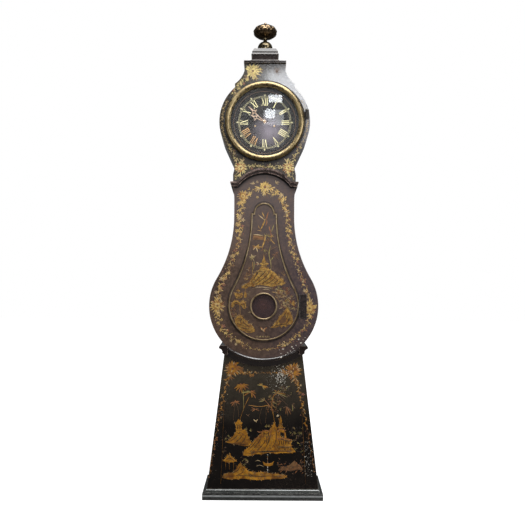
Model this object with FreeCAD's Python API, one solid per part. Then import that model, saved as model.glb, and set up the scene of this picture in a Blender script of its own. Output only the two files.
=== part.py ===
import FreeCAD, Part
import math
import os

# A longcase clock of the waisted kind: flared base, round belly, glazed round hood with a
# finial, and an eight-day two-train movement with a long pendulum.
# The origin is on the floor, under the middle of the plinth. +Z is up and the front faces -Y.
# All lengths are millimetres and all angles are degrees.

os.makedirs("parts", exist_ok=True)
V = FreeCAD.Vector
ACROSS = V(0, 1, 0)
UP = V(0, 0, 1)

# Driving dimensions

# Clearances
gap = 0.3
fit = 0.05
tiny = 0.001

# Plinth
plinth_depth = 250.0
plinth_height = 29.0
bead_height = 14.0
bead_inset = 15.0
bead_round = 5.5

# Case boards
front_board = 14.0
side_board = 12.0
back_board = 12.0
case_setback = 28.0

# Base
foot_over_belly = 5.1
base_foot_inset = 19.3
base_top_half = 175.2
base_height = 660.5

# Trunk
belly_radius = 251.6
belly_leave_deg = 30.8
neck_half = 138.2
neck_straight = 77.0
flare_out = 6.0
flare_height = 57.0

# Lower waist moulding
seam_over_belly = 43.4
seam_below_join = 11.8
nose_out = 24.0
nose_high = 16.0
nose_above_seam = 13.0
cove_high = 24.0
cove_foot = 5.0
tip_out = 28.0

# Upper waist moulding
arch_half = 121.5
arch_rise = 61.5
upper_fillet_high = 6.0
upper_fillet_out = 20.0
upper_bead_high = 15.0
upper_bead_out = 13.0
upper_side_out = 12.0
upper_tip_rise = 25.0

# Trunk door
door_margin = 90.6
door_above_belly = 4.0
door_leave_deg = 28.0
door_neck_margin = 80.2
door_straight = 8.0
door_arch_inset = 11.5
door_arch_lift = 2.5
door_gap = 3.0
door_proud = 3.0
door_bead_wide = 4.5
door_bead_high = 4.0
door_bead_round = 1.4
window_border = 104.0
window_ring_seat = 2.0
window_ring_wide = 7.0
window_ring_high = 7.0
window_glass_thick = 3.0

# Trunk door hinge
hinge_high = 111.0
hinge_plate_wide = 30.0
hinge_plate_thick = 2.0
hinge_knuckle_radius = 3.0
hinge_pin_radius = 1.45
hinge_middle_high = 50.0
hinge_leaf_thick = 2.8
hinge_leaf_deep = 15.0
hinge_notch = 1.0

# Hood
hood_board = 14.0
hood_side = 10.0
hood_front_lead = 3.0
hood_radius = 208.8
hood_neck_gap = 5.7
hood_neck_half = 138.0
hood_neck_arc = 73.9
hood_neck_above_foot = 30.0
hood_foot_half = 144.4
hood_foot_high = 34.0
ear_half = 138.0
ear_step = 2.5
ear_high = 15.0
crown_half = 94.5
shoulder_rise = 60.0
shoulder_sag = 6.0
crown_high = 33.0
dial_opening_radius = 160.0
hood_back_gap = 0.6

# Cornice, pedestal and finial
cornice_out = 2.5
cornice_front_out = 8.0
cornice_high = 11.0
pedestal_back_from_front = 80.0
pedestal_foot = 145.0
pedestal_foot_high = 5.0
pedestal_flare_high = 10.0
pedestal_neck = 120.0
pedestal_neck_high = 25.0
cap_side = 127.0
cap_bevel_high = 8.0
cap_lip_side = 120.0
cap_lip_high = 6.0
cap_top_side = 101.0
cap_roof_high = 18.0
finial_disc_radius = 50.0
finial_disc_high = 6.0
finial_drum_high = 18.0
finial_dome_radius = 35.0
finial_dome_high = 26.0
finial_neck_radius = 11.0
finial_neck_high = 18.0
finial_ball_radius = 57.0
finial_ball_high = 60.0
finial_ball_sink = 1.0
finial_nub_radius = 7.0
finial_nub_high = 15.0

# Glazed dial door
bezel_inner = 157.0
bezel_outer = 183.0
bezel_high = 18.0
bezel_lip = 3.0
bezel_lip_high = 5.0
glass_thick = 2.5
glass_rise = 15.0
glass_seat = 0.5
dial_hinge_high = 44.0
dial_hinge_above = 34.0
dial_hinge_plate_wide = 10.0
dial_hinge_out = 6.0
catch_wide = 14.0
catch_high = 9.0
catch_thick = 1.6
catch_pin_radius = 1.6
catch_pin_high = 3.0
catch_out = 4.0

# Dial
dial_radius = 165.0
dial_thick = 2.0
dial_hole_radius = 6.0
winding_hole_radius = 4.5
dial_behind_board = 0.8
dial_foot_radius = 3.0
dial_foot_x = 52.0
dial_foot_low = 50.0
dial_foot_top = 82.0

# Movement frame
plate_half = 92.0
plate_low = 62.0
plate_high = 116.0
plate_thick = 3.0
front_plate_behind_dial = 32.0
plate_spacing = 64.0
pillar_radius = 5.0
pillar_inset = 12.0
seat_thick = 18.0
cheek_behind_dial = 4.0
seat_behind_plate = 7.0
cheek_board = 12.0
cheek_lap = 355.0
seat_hole_radius = 9.0

# Trains
arbor_radius = 2.0
pipe_radius = 3.0
hour_pipe_radius = 4.5
train_module = 0.9
fine_module = 0.7
great_teeth = 96
centre_pinion_teeth = 8
centre_teeth = 60
third_pinion_teeth = 8
third_teeth = 56
escape_pinion_teeth = 7
escape_teeth = 30
escape_radius = 18.5
fly_pinion_teeth = 7
wheel_thick = 3.0
pinion_long = 7.0
great_drop_deg = 20.0
drum_radius = 22.0
drum_long = 40.0
drum_flange = 26.0
drum_flange_thick = 2.0
barrel_arbor_radius = 3.5
winding_square = 5.0
train_step = 5.0

# Motion work
cannon_teeth = 30
minute_wheel_teeth = 90
minute_pinion_teeth = 20
hour_wheel_teeth = 80
motion_module = 0.8
motion_thick = 3.0
motion_first = 5.0
motion_second = 11.0
stud_radius = 2.5

# Hands
hand_thick = 1.5
hour_hand_stand = 3.0
minute_hand_stand = 6.5
minute_hand_long = 104.0
hour_hand_long = 74.0
hand_boss_radius = 7.0
hand_stem_half = 1.7
hand_tip_half = 0.7
hand_ring_radius = 7.5
hand_ring_hole = 5.2
hand_spear_half = 3.2
hand_wing = 9.5
minute_hand_deg = -46.5
hour_hand_deg = -63.0

# Escapement and pendulum
anchor_rise = 40.0
anchor_clear = 2.2
anchor_band = 5.0
anchor_spread_deg = 54.0
anchor_thick = 4.0
anchor_stem_half = 3.0
crutch_long = 60.0
crutch_radius = 1.5
crutch_behind_plate = 5.0
pendulum_behind_plate = 18.0
strip_half = 4.0
strip_thick = 0.5
strip_above = 9.0
strip_below = 16.0
rod_radius = 3.0
rod_tail = 26.0
bob_radius = 62.0
bob_thick = 24.0
bob_rim = 3.0
nut_radius = 9.0
nut_high = 8.0
cock_half = 12.0
cock_above_axis = 4.0
cock_high = 10.0
cock_deep_over = 5.0
cock_slot = 2.6

# Striking
hammer_axis_x = -50.0
hammer_axis_up = 72.0
hammer_head_radius = 6.0
hammer_head_long = 16.0
hammer_stem_radius = 1.6
hammer_rest_gap = 7.0
fly_vane_half = 17.0
fly_vane_wide = 16.0
fly_vane_thick = 0.8
fly_deg = 75.0
bell_radius = 38.0
bell_high = 26.0
bell_wall = 2.2
bell_above_plate = 14.0
stand_half = 6.0
stand_thick = 3.0
bell_post_radius = 3.0
bell_nut_radius = 5.0
bell_nut_high = 3.0

# Weights and lines
line_radius = 0.9
line_stand_off = 0.35
weight_radius = 32.0
weight_high = 190.0
weight_hook_radius = 7.0
weight_hook_wire = 2.0
weight_floor_gap = 60.0

# Wall peg hole
peg_radius = 4.0
peg_below_top = 120.0

# Derived places along the depth, from front to back
plinth_front = -plinth_depth / 2
plinth_back = plinth_depth / 2
case_front = plinth_front + case_setback
case_inner = case_front + front_board
back_front = plinth_back - back_board
hood_front_y = case_front - hood_front_lead
hood_inner_y = hood_front_y + hood_board
hood_back_y = back_front - hood_back_gap
dial_front_y = hood_inner_y + dial_behind_board
dial_back_y = dial_front_y + dial_thick
front_plate_y = dial_back_y + front_plate_behind_dial
front_plate_back = front_plate_y + plate_thick
back_plate_y = front_plate_back + plate_spacing
back_plate_back = back_plate_y + plate_thick
pendulum_y = back_plate_back + pendulum_behind_plate
pedestal_y = hood_front_y + pedestal_back_from_front
drop_y = front_plate_back + plate_spacing / 2
door_front_y = case_front - door_proud
hinge_axis_y = case_front - hinge_knuckle_radius - hinge_notch
bezel_back_y = hood_front_y - gap
dial_hinge_axis_y = hood_front_y - hinge_knuckle_radius - hinge_notch
great_y = back_plate_y - train_step - wheel_thick
strike_great_y = great_y - train_step
third_wheel_y = strike_great_y - train_step
centre_wheel_y = front_plate_back + train_step
escape_wheel_y = front_plate_back + train_step * 3
motion_y = front_plate_y - motion_first
hour_wheel_y = front_plate_y - motion_second
hour_hand_y = dial_front_y - hour_hand_stand - hand_thick
minute_hand_y = dial_front_y - minute_hand_stand - hand_thick
arbor_back_y = back_plate_back + gap

# Derived radii and half widths of the case
base_foot_half = belly_radius + foot_over_belly
plinth_width = 2 * (base_foot_half + base_foot_inset)
seam_radius = belly_radius + seam_over_belly
door_radius = belly_radius - door_margin
window_hole_radius = door_radius - window_border
window_ring_radius = window_hole_radius + window_ring_seat
door_neck_half = neck_half - door_neck_margin
door_arch_radius = door_neck_half - door_arch_inset

# Derived heights, from the floor up
bead_base_z = plinth_height
base_z = bead_base_z + bead_height
belly_join_z = base_z + base_height
belly_z = belly_join_z + math.sqrt(belly_radius ** 2 - base_top_half ** 2)
flare_arc = (belly_radius * math.cos(math.radians(belly_leave_deg)) - neck_half) / (
    1 - math.cos(math.radians(belly_leave_deg)))
neck_z = belly_z + (belly_radius + flare_arc) * math.sin(math.radians(belly_leave_deg))
flare_z = neck_z + neck_straight
trunk_top_z = flare_z + flare_height
trunk_top_half = neck_half + flare_out
upper_high = upper_fillet_high + upper_bead_high
arch_tip_z = trunk_top_z + upper_tip_rise
arch_apex_z = arch_tip_z + arch_rise
hood_foot_z = arch_tip_z + gap
hood_neck_z = hood_foot_z + hood_foot_high + hood_neck_above_foot
dial_z = hood_neck_z + hood_radius + hood_neck_gap
notch_half = ear_half - ear_step
notch_z = dial_z + math.sqrt(hood_radius ** 2 - notch_half ** 2)
ear_z = notch_z + ear_high
crown_z = ear_z + shoulder_rise
hood_top_z = crown_z + crown_high
cornice_top_z = hood_top_z + cornice_high
cap_z = cornice_top_z + pedestal_foot_high + pedestal_flare_high + pedestal_neck_high
roof_z = cap_z + cap_bevel_high + cap_lip_high
finial_z = roof_z + cap_roof_high
ball_z = finial_z + finial_disc_high + finial_drum_high + finial_dome_high + finial_neck_high - finial_ball_sink
seam_z = belly_join_z - seam_below_join + math.sqrt(seam_radius ** 2 - base_top_half ** 2)
door_z = belly_z + door_above_belly
seat_top_z = dial_z - plate_low
seat_z = seat_top_z - seat_thick
plate_top_z = dial_z + plate_high
centre_distance = train_module * (great_teeth + centre_pinion_teeth) / 2
great_x = centre_distance * math.cos(math.radians(great_drop_deg))
great_z = dial_z - centre_distance * math.sin(math.radians(great_drop_deg))
third_z = dial_z + fine_module * (centre_teeth + third_pinion_teeth) / 2
escape_z = third_z + fine_module * (third_teeth + escape_pinion_teeth) / 2
anchor_z = escape_z + anchor_rise
motion_distance = motion_module * (cannon_teeth + minute_wheel_teeth) / 2
hour_module = 2 * motion_distance / (minute_pinion_teeth + hour_wheel_teeth)
minute_wheel_z = dial_z - motion_distance
dial_hinge_z = dial_z + dial_hinge_above
hammer_z = dial_z + hammer_axis_up
bell_z = plate_top_z + bell_above_plate
fly_distance = train_module * (great_teeth + fly_pinion_teeth) / 2
fly_z = great_z + fly_distance * math.sin(math.radians(fly_deg))

# Derived places across the width
hinge_axis_x = door_radius + hinge_knuckle_radius + gap
hinge_leaf_reach = hinge_knuckle_radius + gap + hinge_notch
dial_hinge_axis_x = bezel_outer + dial_hinge_out
fly_x = -great_x + fly_distance * math.cos(math.radians(fly_deg))
line_out = drum_radius + line_radius + line_stand_off


# Drawing helpers

def on_circle(centre, radius, angle):
    """The (x, z) point of a circle at an angle from +X towards +Z."""
    turn = math.radians(angle)
    return (centre[0] + radius * math.cos(turn), centre[1] + radius * math.sin(turn))


def arc_step(centre, radius, start, end):
    """One outline step along an arc: its middle point and its end point."""
    return (on_circle(centre, radius, (start + end) / 2), on_circle(centre, radius, end))


def outline_face(start, steps, y=0):
    """A face in the plane at depth y. A step is an end point, or a middle and an end point."""
    edges = []
    here = start
    for step in steps + [start]:
        if isinstance(step[0], tuple):
            middle, end = step
            edges.append(Part.Arc(V(here[0], y, here[1]), V(middle[0], y, middle[1]),
                                  V(end[0], y, end[1])).toShape())
        else:
            end = step
            if math.dist(here, end) > tiny:
                edges.append(Part.LineSegment(V(here[0], y, here[1]), V(end[0], y, end[1])).toShape())
        here = end
    return Part.Face(Part.Wire(edges))


def board(start, steps, y, thick):
    """A board cut to an outline, from depth y backwards."""
    return outline_face(start, steps, y).extrude(V(0, thick, 0))


def mirrored(shape):
    return shape.mirror(V(0, 0, 0), V(1, 0, 0))


def whole(half):
    """Both halves of a shape that is drawn on the +X side of the middle."""
    return half.fuse(mirrored(half)).removeSplitter()


def block(x0, x1, y0, y1, z0, z1):
    return Part.makeBox(x1 - x0, y1 - y0, z1 - z0, V(x0, y0, z0))


def rod(x, y, z, radius, length):
    """A round bar that runs backwards from depth y."""
    return Part.makeCylinder(radius, length, V(x, y, z), ACROSS)


def post(x, y, z, radius, length):
    """A round bar that runs upwards."""
    return Part.makeCylinder(radius, length, V(x, y, z), UP)


def turned(start, steps, x, y, z):
    """A turned shape about the vertical: the outline is (radius, height) above z."""
    half = outline_face(start, steps)
    solid = half.revolve(V(0, 0, 0), UP, 360)
    solid.translate(V(x, y, z))
    return solid


def spun(start, steps, y, z):
    """A turned shape about the front-to-back axis: the outline is (radius, distance forward)."""
    solid = turned(start, steps, 0, 0, 0)
    solid.rotate(V(0, 0, 0), V(1, 0, 0), 90)
    solid.translate(V(0, y, z))
    return solid


def dome_steps(wide, high, start, end):
    """A flattened round profile standing on zero, drawn as four arcs through its points."""
    quarter = (end - start) / 4
    steps = []
    for count in range(4):
        angles = [math.radians(start + quarter * (count + share)) for share in (0.5, 1)]
        floor = high * math.sin(math.radians(start))
        steps.append(tuple((round(wide * math.cos(a), 9), high * math.sin(a) - floor) for a in angles))
    return steps


def fused(shapes):
    return shapes[0].multiFuse(shapes[1:]).removeSplitter()


def save(node, shape):
    solids = shape.Solids
    result = solids[0] if len(solids) == 1 else Part.makeCompound(solids)
    result.exportStep("parts/" + node + ".step")


# Outlines of the case

def base_half_at(z):
    """Half the base's width at a height, which narrows evenly upwards."""
    share = (z - base_z) / base_height
    return base_foot_half + (base_top_half - base_foot_half) * share


def bulb_steps(centre_z, radius, leave, half, grow, low_half):
    """A round belly that runs into a narrow neck, offset outwards by grow."""
    curve = (radius * math.cos(math.radians(leave)) - half) / (1 - math.cos(math.radians(leave)))
    end_z = centre_z + (radius + curve) * math.sin(math.radians(leave))
    centre = (0, centre_z)
    start = -90 if low_half == 0 else -math.degrees(math.acos(low_half / (radius + grow)))
    steps = []
    if start < 0:
        steps.append(arc_step(centre, radius + grow, start, start / 2))
        start = start / 2
    steps.append(arc_step(centre, radius + grow, start, leave))
    steps.append(arc_step((half + curve, end_z), curve - grow, 180 + leave, 180))
    return steps


def trunk_steps(inset):
    """The trunk's right side from the belly's foot to its top."""
    flare = (flare_out ** 2 + flare_height ** 2) / (2 * flare_out)
    swing = math.degrees(math.asin(flare_height / (flare + inset)))
    steps = bulb_steps(belly_z, belly_radius, belly_leave_deg, neck_half, -inset, base_top_half - inset)
    steps.append((neck_half - inset, flare_z))
    steps.append(arc_step((neck_half + flare, flare_z), flare + inset, 180, 180 - swing))
    return steps


def trunk_foot(inset):
    """Where the belly meets the base's slanted side."""
    start = -math.degrees(math.acos((base_top_half - inset) / (belly_radius - inset)))
    return on_circle((0, belly_z), belly_radius - inset, start)


def case_half(inset, low, high):
    """The whole case's right half: base, belly and neck, closed along the middle."""
    steps = [(base_half_at(low) - inset, low), trunk_foot(inset)] + trunk_steps(inset)
    last = steps[-1][1]
    steps.append((last[0], high))
    steps.append((0, high))
    return (0, low), steps


def door_half(grow):
    """The trunk door's right half, offset outwards by grow."""
    neck_curve = (door_radius * math.cos(math.radians(door_leave_deg)) - door_neck_half) / (
        1 - math.cos(math.radians(door_leave_deg)))
    neck_end = door_z + (door_radius + neck_curve) * math.sin(math.radians(door_leave_deg))
    spring_z = neck_end + door_straight
    arch_z = spring_z + door_arch_lift
    ledge_z = spring_z + grow
    radius = door_arch_radius + grow
    steps = bulb_steps(door_z, door_radius, door_leave_deg, door_neck_half, grow, 0)
    steps.append((door_neck_half + grow, ledge_z))
    if ledge_z < arch_z:
        steps.append((radius, ledge_z))
        steps.append((radius, arch_z))
        angle = 0
    else:
        angle = math.degrees(math.asin((ledge_z - arch_z) / radius))
        steps.append(on_circle((0, arch_z), radius, angle))
    steps.append(arc_step((0, arch_z), radius, angle, 90))
    return (0, door_z - door_radius - grow), steps


def hood_half(inset, low):
    """The hood's right half, closed along the middle. The plain inner outline has no foot or ears."""
    reach = hood_neck_half + hood_neck_arc
    rise = hood_radius + hood_neck_gap
    lean = math.degrees(math.atan2(rise, reach) - math.acos(
        (hood_radius + hood_neck_arc) / math.hypot(reach, rise)))
    neck_centre = (reach, hood_neck_z)
    centre = (0, dial_z)
    side = hood_radius - inset
    top = math.degrees(math.acos((notch_half - inset) / side))
    steps = [(hood_neck_half - inset, low), (hood_neck_half - inset, hood_neck_z)]
    if inset == 0:
        foot_top = hood_foot_z + hood_foot_high
        steps = [(hood_foot_half, low), (hood_foot_half, foot_top), (hood_neck_half, hood_neck_z)]
    steps.append(arc_step(neck_centre, hood_neck_arc + inset, 180, 180 - lean))
    steps.append(on_circle(centre, side, -lean))
    steps.append(arc_step(centre, side, -lean, top / 2))
    steps.append(arc_step(centre, side, top / 2, top))
    if inset == 0:
        steps.append((ear_half, notch_z))
        steps.append((ear_half, ear_z))
    here = steps[-1] if inset == 0 else steps[-1][1]
    there = (crown_half - inset, crown_z)
    middle = ((here[0] + there[0]) / 2 - shoulder_sag, (here[1] + there[1]) / 2 - shoulder_sag / 2)
    steps.append((middle, there))
    steps.append((crown_half - inset, hood_top_z))
    steps.append((0, hood_top_z))
    return (0, low), steps


def arch_region(half, low, lift):
    """All that lies under the arched waist line, raised by lift and out to a half width."""
    tip = arch_tip_z + lift
    steps = [(half, low), (half, tip), (arch_half, tip), ((0, arch_apex_z + lift), (-arch_half, tip)),
             (-half, tip), (-half, low)]
    return steps[0], steps[1:]


def arch_prism(half, low, lift, y, thick):
    start, steps = arch_region(half, low, lift)
    return board(start, steps, y, thick)


def case_core(y, thick, inset=0):
    """The space that the case fills, carried straight up past its top."""
    start, steps = case_half(inset, base_z, hood_neck_z)
    return whole(board(start, steps, y, thick))


def waist_disc(radius, y, thick):
    """The round field whose lower edge is the seam between base and trunk."""
    disc = rod(0, y, seam_z, radius, thick)
    above = block(-radius, radius, y, y + thick, seam_z, hood_neck_z)
    return disc.fuse(above)


# Case pieces

def make_plinth():
    half = plinth_width / 2
    save("plinth_step", block(-half, half, plinth_front, plinth_back, 0, plinth_height))
    bead_half = half - bead_inset
    bead = block(-bead_half, bead_half, plinth_front + bead_inset, plinth_back,
                 bead_base_z, base_z)
    top_edges = [edge for edge in bead.Edges
                 if all(abs(vertex.Z - base_z) < fit for vertex in edge.Vertexes)
                 and not all(abs(vertex.Y - plinth_back) < fit for vertex in edge.Vertexes)]
    save("plinth_bead", bead.makeFillet(bead_round, top_edges))


def make_fronts():
    start, steps = case_half(0, base_z, hood_neck_z)
    panel = whole(board(start, steps, case_front, front_board))
    disc = waist_disc(seam_radius, case_front, front_board)
    base = panel.cut(disc)
    save("base_front", base)
    over = arch_prism(plinth_width, base_z, -upper_fillet_high, case_front, front_board)
    trunk = panel.common(disc).common(over)
    start, steps = door_half(door_gap)
    opening = whole(board(start, steps, case_front, front_board))
    half = hinge_middle_high / 2 + gap
    recess = block(0, hinge_axis_x - hinge_notch, case_front, case_inner, belly_z - half, belly_z + half)
    save("trunk_front", trunk.cut(opening).cut(recess))


def make_sides():
    depth = back_front - case_inner
    start, steps = case_half(0, base_z, trunk_top_z)
    shell = board(start, steps, case_inner, depth)
    start, steps = case_half(side_board, base_z, trunk_top_z)
    shell = shell.cut(board(start, steps, case_inner, depth))
    below = block(0, plinth_width, plinth_front, plinth_back, 0, belly_join_z)
    base_side = shell.common(below)
    trunk_side = shell.cut(below)
    save("base_sides", Part.makeCompound([base_side, mirrored(base_side)]))
    save("trunk_side_right", trunk_side)
    save("trunk_side_left", mirrored(trunk_side))


def make_back():
    start, steps = case_half(0, base_z, trunk_top_z)
    low = whole(board(start, steps, back_front, back_board))
    start, steps = hood_half(hood_back_gap, trunk_top_z)
    high = whole(board(start, steps, back_front, back_board))
    back = low.fuse(high).removeSplitter()
    hole = rod(0, back_front, hood_top_z - peg_below_top, peg_radius, back_board)
    save("backboard", back.cut(hole))


def moulding_outline(out_of, down_of):
    """The lower waist moulding's section: a round nose over a hollow cove."""
    top = nose_above_seam
    nose_low = top - nose_high
    foot = nose_low - cove_high
    swell = nose_out - nose_high / 2
    points = [(0, top), (swell, top), (nose_out, top - nose_high / 2), (swell, nose_low),
              (cove_foot * 2, nose_low - cove_high / 2), (cove_foot, foot), (0, foot)]
    placed = [(out_of(out), down_of(level)) for out, level in points]
    return placed[0], [placed[1], (placed[2], placed[3]), (placed[4], placed[5]), placed[6]]


def make_lower_moulding():
    start, steps = moulding_outline(lambda out: case_front - out, lambda level: seam_radius - level)
    edges = []
    here = start
    for step in steps + [start]:
        if isinstance(step[0], tuple):
            middle, end = step
            edges.append(Part.Arc(V(0, here[0], -here[1]), V(0, middle[0], -middle[1]),
                                  V(0, end[0], -end[1])).toShape())
        else:
            end = step
            edges.append(Part.LineSegment(V(0, here[0], -here[1]), V(0, end[0], -end[1])).toShape())
        here = end
    section = Part.Face(Part.Wire(edges))
    sweep = math.degrees(math.asin(base_top_half / seam_radius))
    section.rotate(V(0, 0, 0), ACROSS, -sweep)
    front = section.revolve(V(0, 0, 0), ACROSS, 2 * sweep)
    front.translate(V(0, 0, seam_z))
    tip_z = seam_z - math.sqrt(seam_radius ** 2 - base_top_half ** 2)
    side_half = base_top_half - side_board
    start, steps = moulding_outline(
        lambda out: base_top_half + out * tip_out / nose_out, lambda level: tip_z + level)
    low = (side_half, start[1] - nose_high - cove_high)
    side = board((side_half, start[1]), [start] + steps + [low],
                 case_front - nose_out, back_front - case_front + nose_out)
    ends = side.fuse(mirrored(side))
    save("waist_moulding_lower", fused([front, ends]).cut(case_core(case_front, plinth_depth)))


def make_upper_moulding():
    layers = [(0, upper_fillet_high, upper_fillet_out), (upper_fillet_high, upper_high, upper_bead_out)]
    made = []
    for top, low, out in layers:
        half = trunk_top_half + upper_side_out * out / upper_fillet_out
        y = case_front - out
        band = arch_prism(half, trunk_top_z - flare_height, -top, y, back_front - y)
        made.append(band.cut(arch_prism(plinth_width, base_z, -low, y, back_front - y)))
    below = block(-plinth_width, plinth_width, plinth_front, plinth_back, 0, trunk_top_z)
    above = block(-trunk_top_half, trunk_top_half, case_front, case_inner, trunk_top_z, hood_neck_z)
    inside_half = trunk_top_half - side_board
    inside = block(-inside_half, inside_half, case_front, plinth_back, 0, hood_neck_z)
    core = case_core(case_front, plinth_depth).common(below)
    save("waist_moulding_upper", fused(made).cut(core).cut(above).cut(inside))


def line_spots():
    """Where the two lines hang: each on the left side of its own drum."""
    return [side * great_x - line_out for side in (-1, 1)]


def make_seat():
    outer = neck_half - side_board
    cheek = block(outer - cheek_board, outer, dial_back_y + cheek_behind_dial, back_front,
                  seat_z - cheek_lap, seat_z)
    save("cheeks", Part.makeCompound([cheek, mirrored(cheek)]))
    seat = block(-outer, outer, front_plate_y, back_plate_back + seat_behind_plate,
                 seat_z, seat_top_z)
    for x in line_spots():
        seat = seat.cut(post(x, drop_y, seat_z, seat_hole_radius, seat_thick))
    save("seatboard", seat)


# Trunk door

def make_trunk_door():
    thick = front_board + door_proud
    start, steps = door_half(0)
    panel = whole(board(start, steps, door_front_y, thick))
    panel = panel.cut(rod(0, door_front_y, belly_z, window_hole_radius, thick))
    mortise = block(hinge_axis_x - hinge_leaf_reach, plinth_width, door_front_y, case_inner,
                    belly_z - hinge_middle_high / 2, belly_z + hinge_middle_high / 2)
    save("trunk_door", panel.cut(mortise))
    strip = whole(board(start, steps, door_front_y - door_bead_high, door_bead_high))
    start, steps = door_half(-door_bead_wide)
    strip = strip.cut(whole(board(start, steps, door_front_y - door_bead_high, door_bead_high)))
    front_y = door_front_y - door_bead_high
    crown = [edge for edge in strip.Edges
             if all(abs(vertex.Y - front_y) < fit for vertex in edge.Vertexes)]
    save("door_bead", strip.makeFillet(door_bead_round, crown))
    ring_in = window_ring_radius - window_ring_wide / 2
    ring_out = window_ring_radius + window_ring_wide / 2
    save("window_ring", spun((ring_in, 0), [(ring_out, 0), (ring_out, window_ring_high / 3),
                                            ((window_ring_radius, window_ring_high),
                                             (ring_in, window_ring_high / 3))],
                             door_front_y, belly_z))
    glass_y = door_front_y + window_ring_high / 2
    save("window_glass", rod(0, glass_y, belly_z, window_hole_radius, window_glass_thick))


def make_trunk_hinge():
    low = belly_z - hinge_high / 2
    middle = belly_z - hinge_middle_high / 2
    end_high = (hinge_high - hinge_middle_high) / 2 - gap
    plate_x = hinge_axis_x + hinge_knuckle_radius + hinge_notch
    plate_y = case_front - hinge_plate_thick
    pieces = [block(plate_x, plate_x + hinge_plate_wide, plate_y, case_front, low, low + hinge_high)]
    for z in (low, belly_z + hinge_middle_high / 2 + gap):
        pieces.append(post(hinge_axis_x, hinge_axis_y, z, hinge_knuckle_radius, end_high))
        pieces.append(block(hinge_axis_x, plate_x, plate_y, case_front, z, z + end_high))
    pieces.append(post(hinge_axis_x, hinge_axis_y, low, hinge_pin_radius, hinge_high))
    save("trunk_hinge_plate", fused(pieces))
    leaf_x = hinge_axis_x - hinge_leaf_reach
    leaf_y = hinge_axis_y + hinge_notch
    leaf = block(leaf_x, leaf_x + hinge_leaf_thick, leaf_y, leaf_y + hinge_leaf_deep,
                 middle, middle + hinge_middle_high)
    knuckle = post(hinge_axis_x, hinge_axis_y, middle, hinge_knuckle_radius, hinge_middle_high)
    hole = post(hinge_axis_x, hinge_axis_y, middle, hinge_pin_radius + fit, hinge_middle_high)
    save("trunk_hinge_leaf", fused([leaf, knuckle]).cut(hole))


# Hood

def make_hood():
    start, steps = hood_half(0, hood_foot_z)
    front = whole(board(start, steps, hood_front_y, hood_board))
    front = front.cut(arch_prism(plinth_width, base_z, gap, hood_front_y, hood_board))
    front = front.cut(rod(0, hood_front_y, dial_z, dial_opening_radius, hood_board))
    save("hood_front", front)
    depth = hood_back_y - hood_inner_y
    shell = board(start, steps, hood_inner_y, depth)
    start, steps = hood_half(hood_side, hood_foot_z)
    inner = board(start, steps, hood_inner_y, depth)
    side = shell.cut(inner)
    save("hood_side_right", side)
    save("hood_side_left", mirrored(side))


def squares(levels, x, y):
    """A stack of square frusta between levels, each a (side, height)."""
    pieces = []
    for low, high in zip(levels, levels[1:]):
        rings = []
        for side, z in (low, high):
            half = side / 2
            corners = [V(x - half, y - half, z), V(x + half, y - half, z),
                       V(x + half, y + half, z), V(x - half, y + half, z)]
            rings.append(Part.makePolygon(corners + corners[:1]))
        pieces.append(Part.makeLoft(rings, True, True))
    return fused(pieces)


def make_top():
    half = crown_half + cornice_out
    front = hood_front_y - cornice_front_out
    slab = block(-half, half, front, hood_back_y, hood_top_z, cornice_top_z)
    save("hood_cornice", slab)
    foot_z = cornice_top_z + pedestal_foot_high
    neck_low = foot_z + pedestal_flare_high
    save("hood_pedestal", squares([(pedestal_foot, cornice_top_z), (pedestal_foot, foot_z),
                                   (pedestal_neck, neck_low), (pedestal_neck, cap_z)],
                                  0, pedestal_y))
    save("hood_cap", squares([(cap_side, cap_z), (cap_lip_side, cap_z + cap_bevel_high),
                              (cap_lip_side, roof_z), (cap_top_side, finial_z)], 0, pedestal_y))
    dome_low = finial_disc_high + finial_drum_high
    dome_top = dome_low + finial_dome_high
    neck_top = dome_top + finial_neck_high
    shoulder = (finial_dome_radius * math.cos(math.radians(45)),
                dome_low + finial_dome_high * math.sin(math.radians(45)))
    waist = (finial_neck_radius * 0.8, dome_top + finial_neck_high / 2)
    save("finial_foot", turned((0, 0), [(finial_disc_radius, 0), (finial_disc_radius, finial_disc_high),
                                        (finial_dome_radius * 0.92, finial_disc_high),
                                        (finial_dome_radius, dome_low),
                                        (shoulder, (finial_neck_radius, dome_top)),
                                        (waist, (finial_neck_radius, neck_top)), (0, neck_top)],
                               0, pedestal_y, finial_z))
    ball = turned((0, 0), dome_steps(finial_ball_radius, finial_ball_high / 2, -90, 90), 0, pedestal_y, ball_z)
    stem = post(0, pedestal_y, ball_z, finial_neck_radius, finial_neck_radius)
    nub = post(0, pedestal_y, ball_z + finial_ball_high / 2, finial_nub_radius,
               finial_ball_high / 2 + finial_nub_high)
    seat = post(0, pedestal_y, finial_z, finial_disc_radius, neck_top)
    save("finial_ball", fused([ball, stem, nub]).cut(seat))


# Glazed dial door

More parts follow.
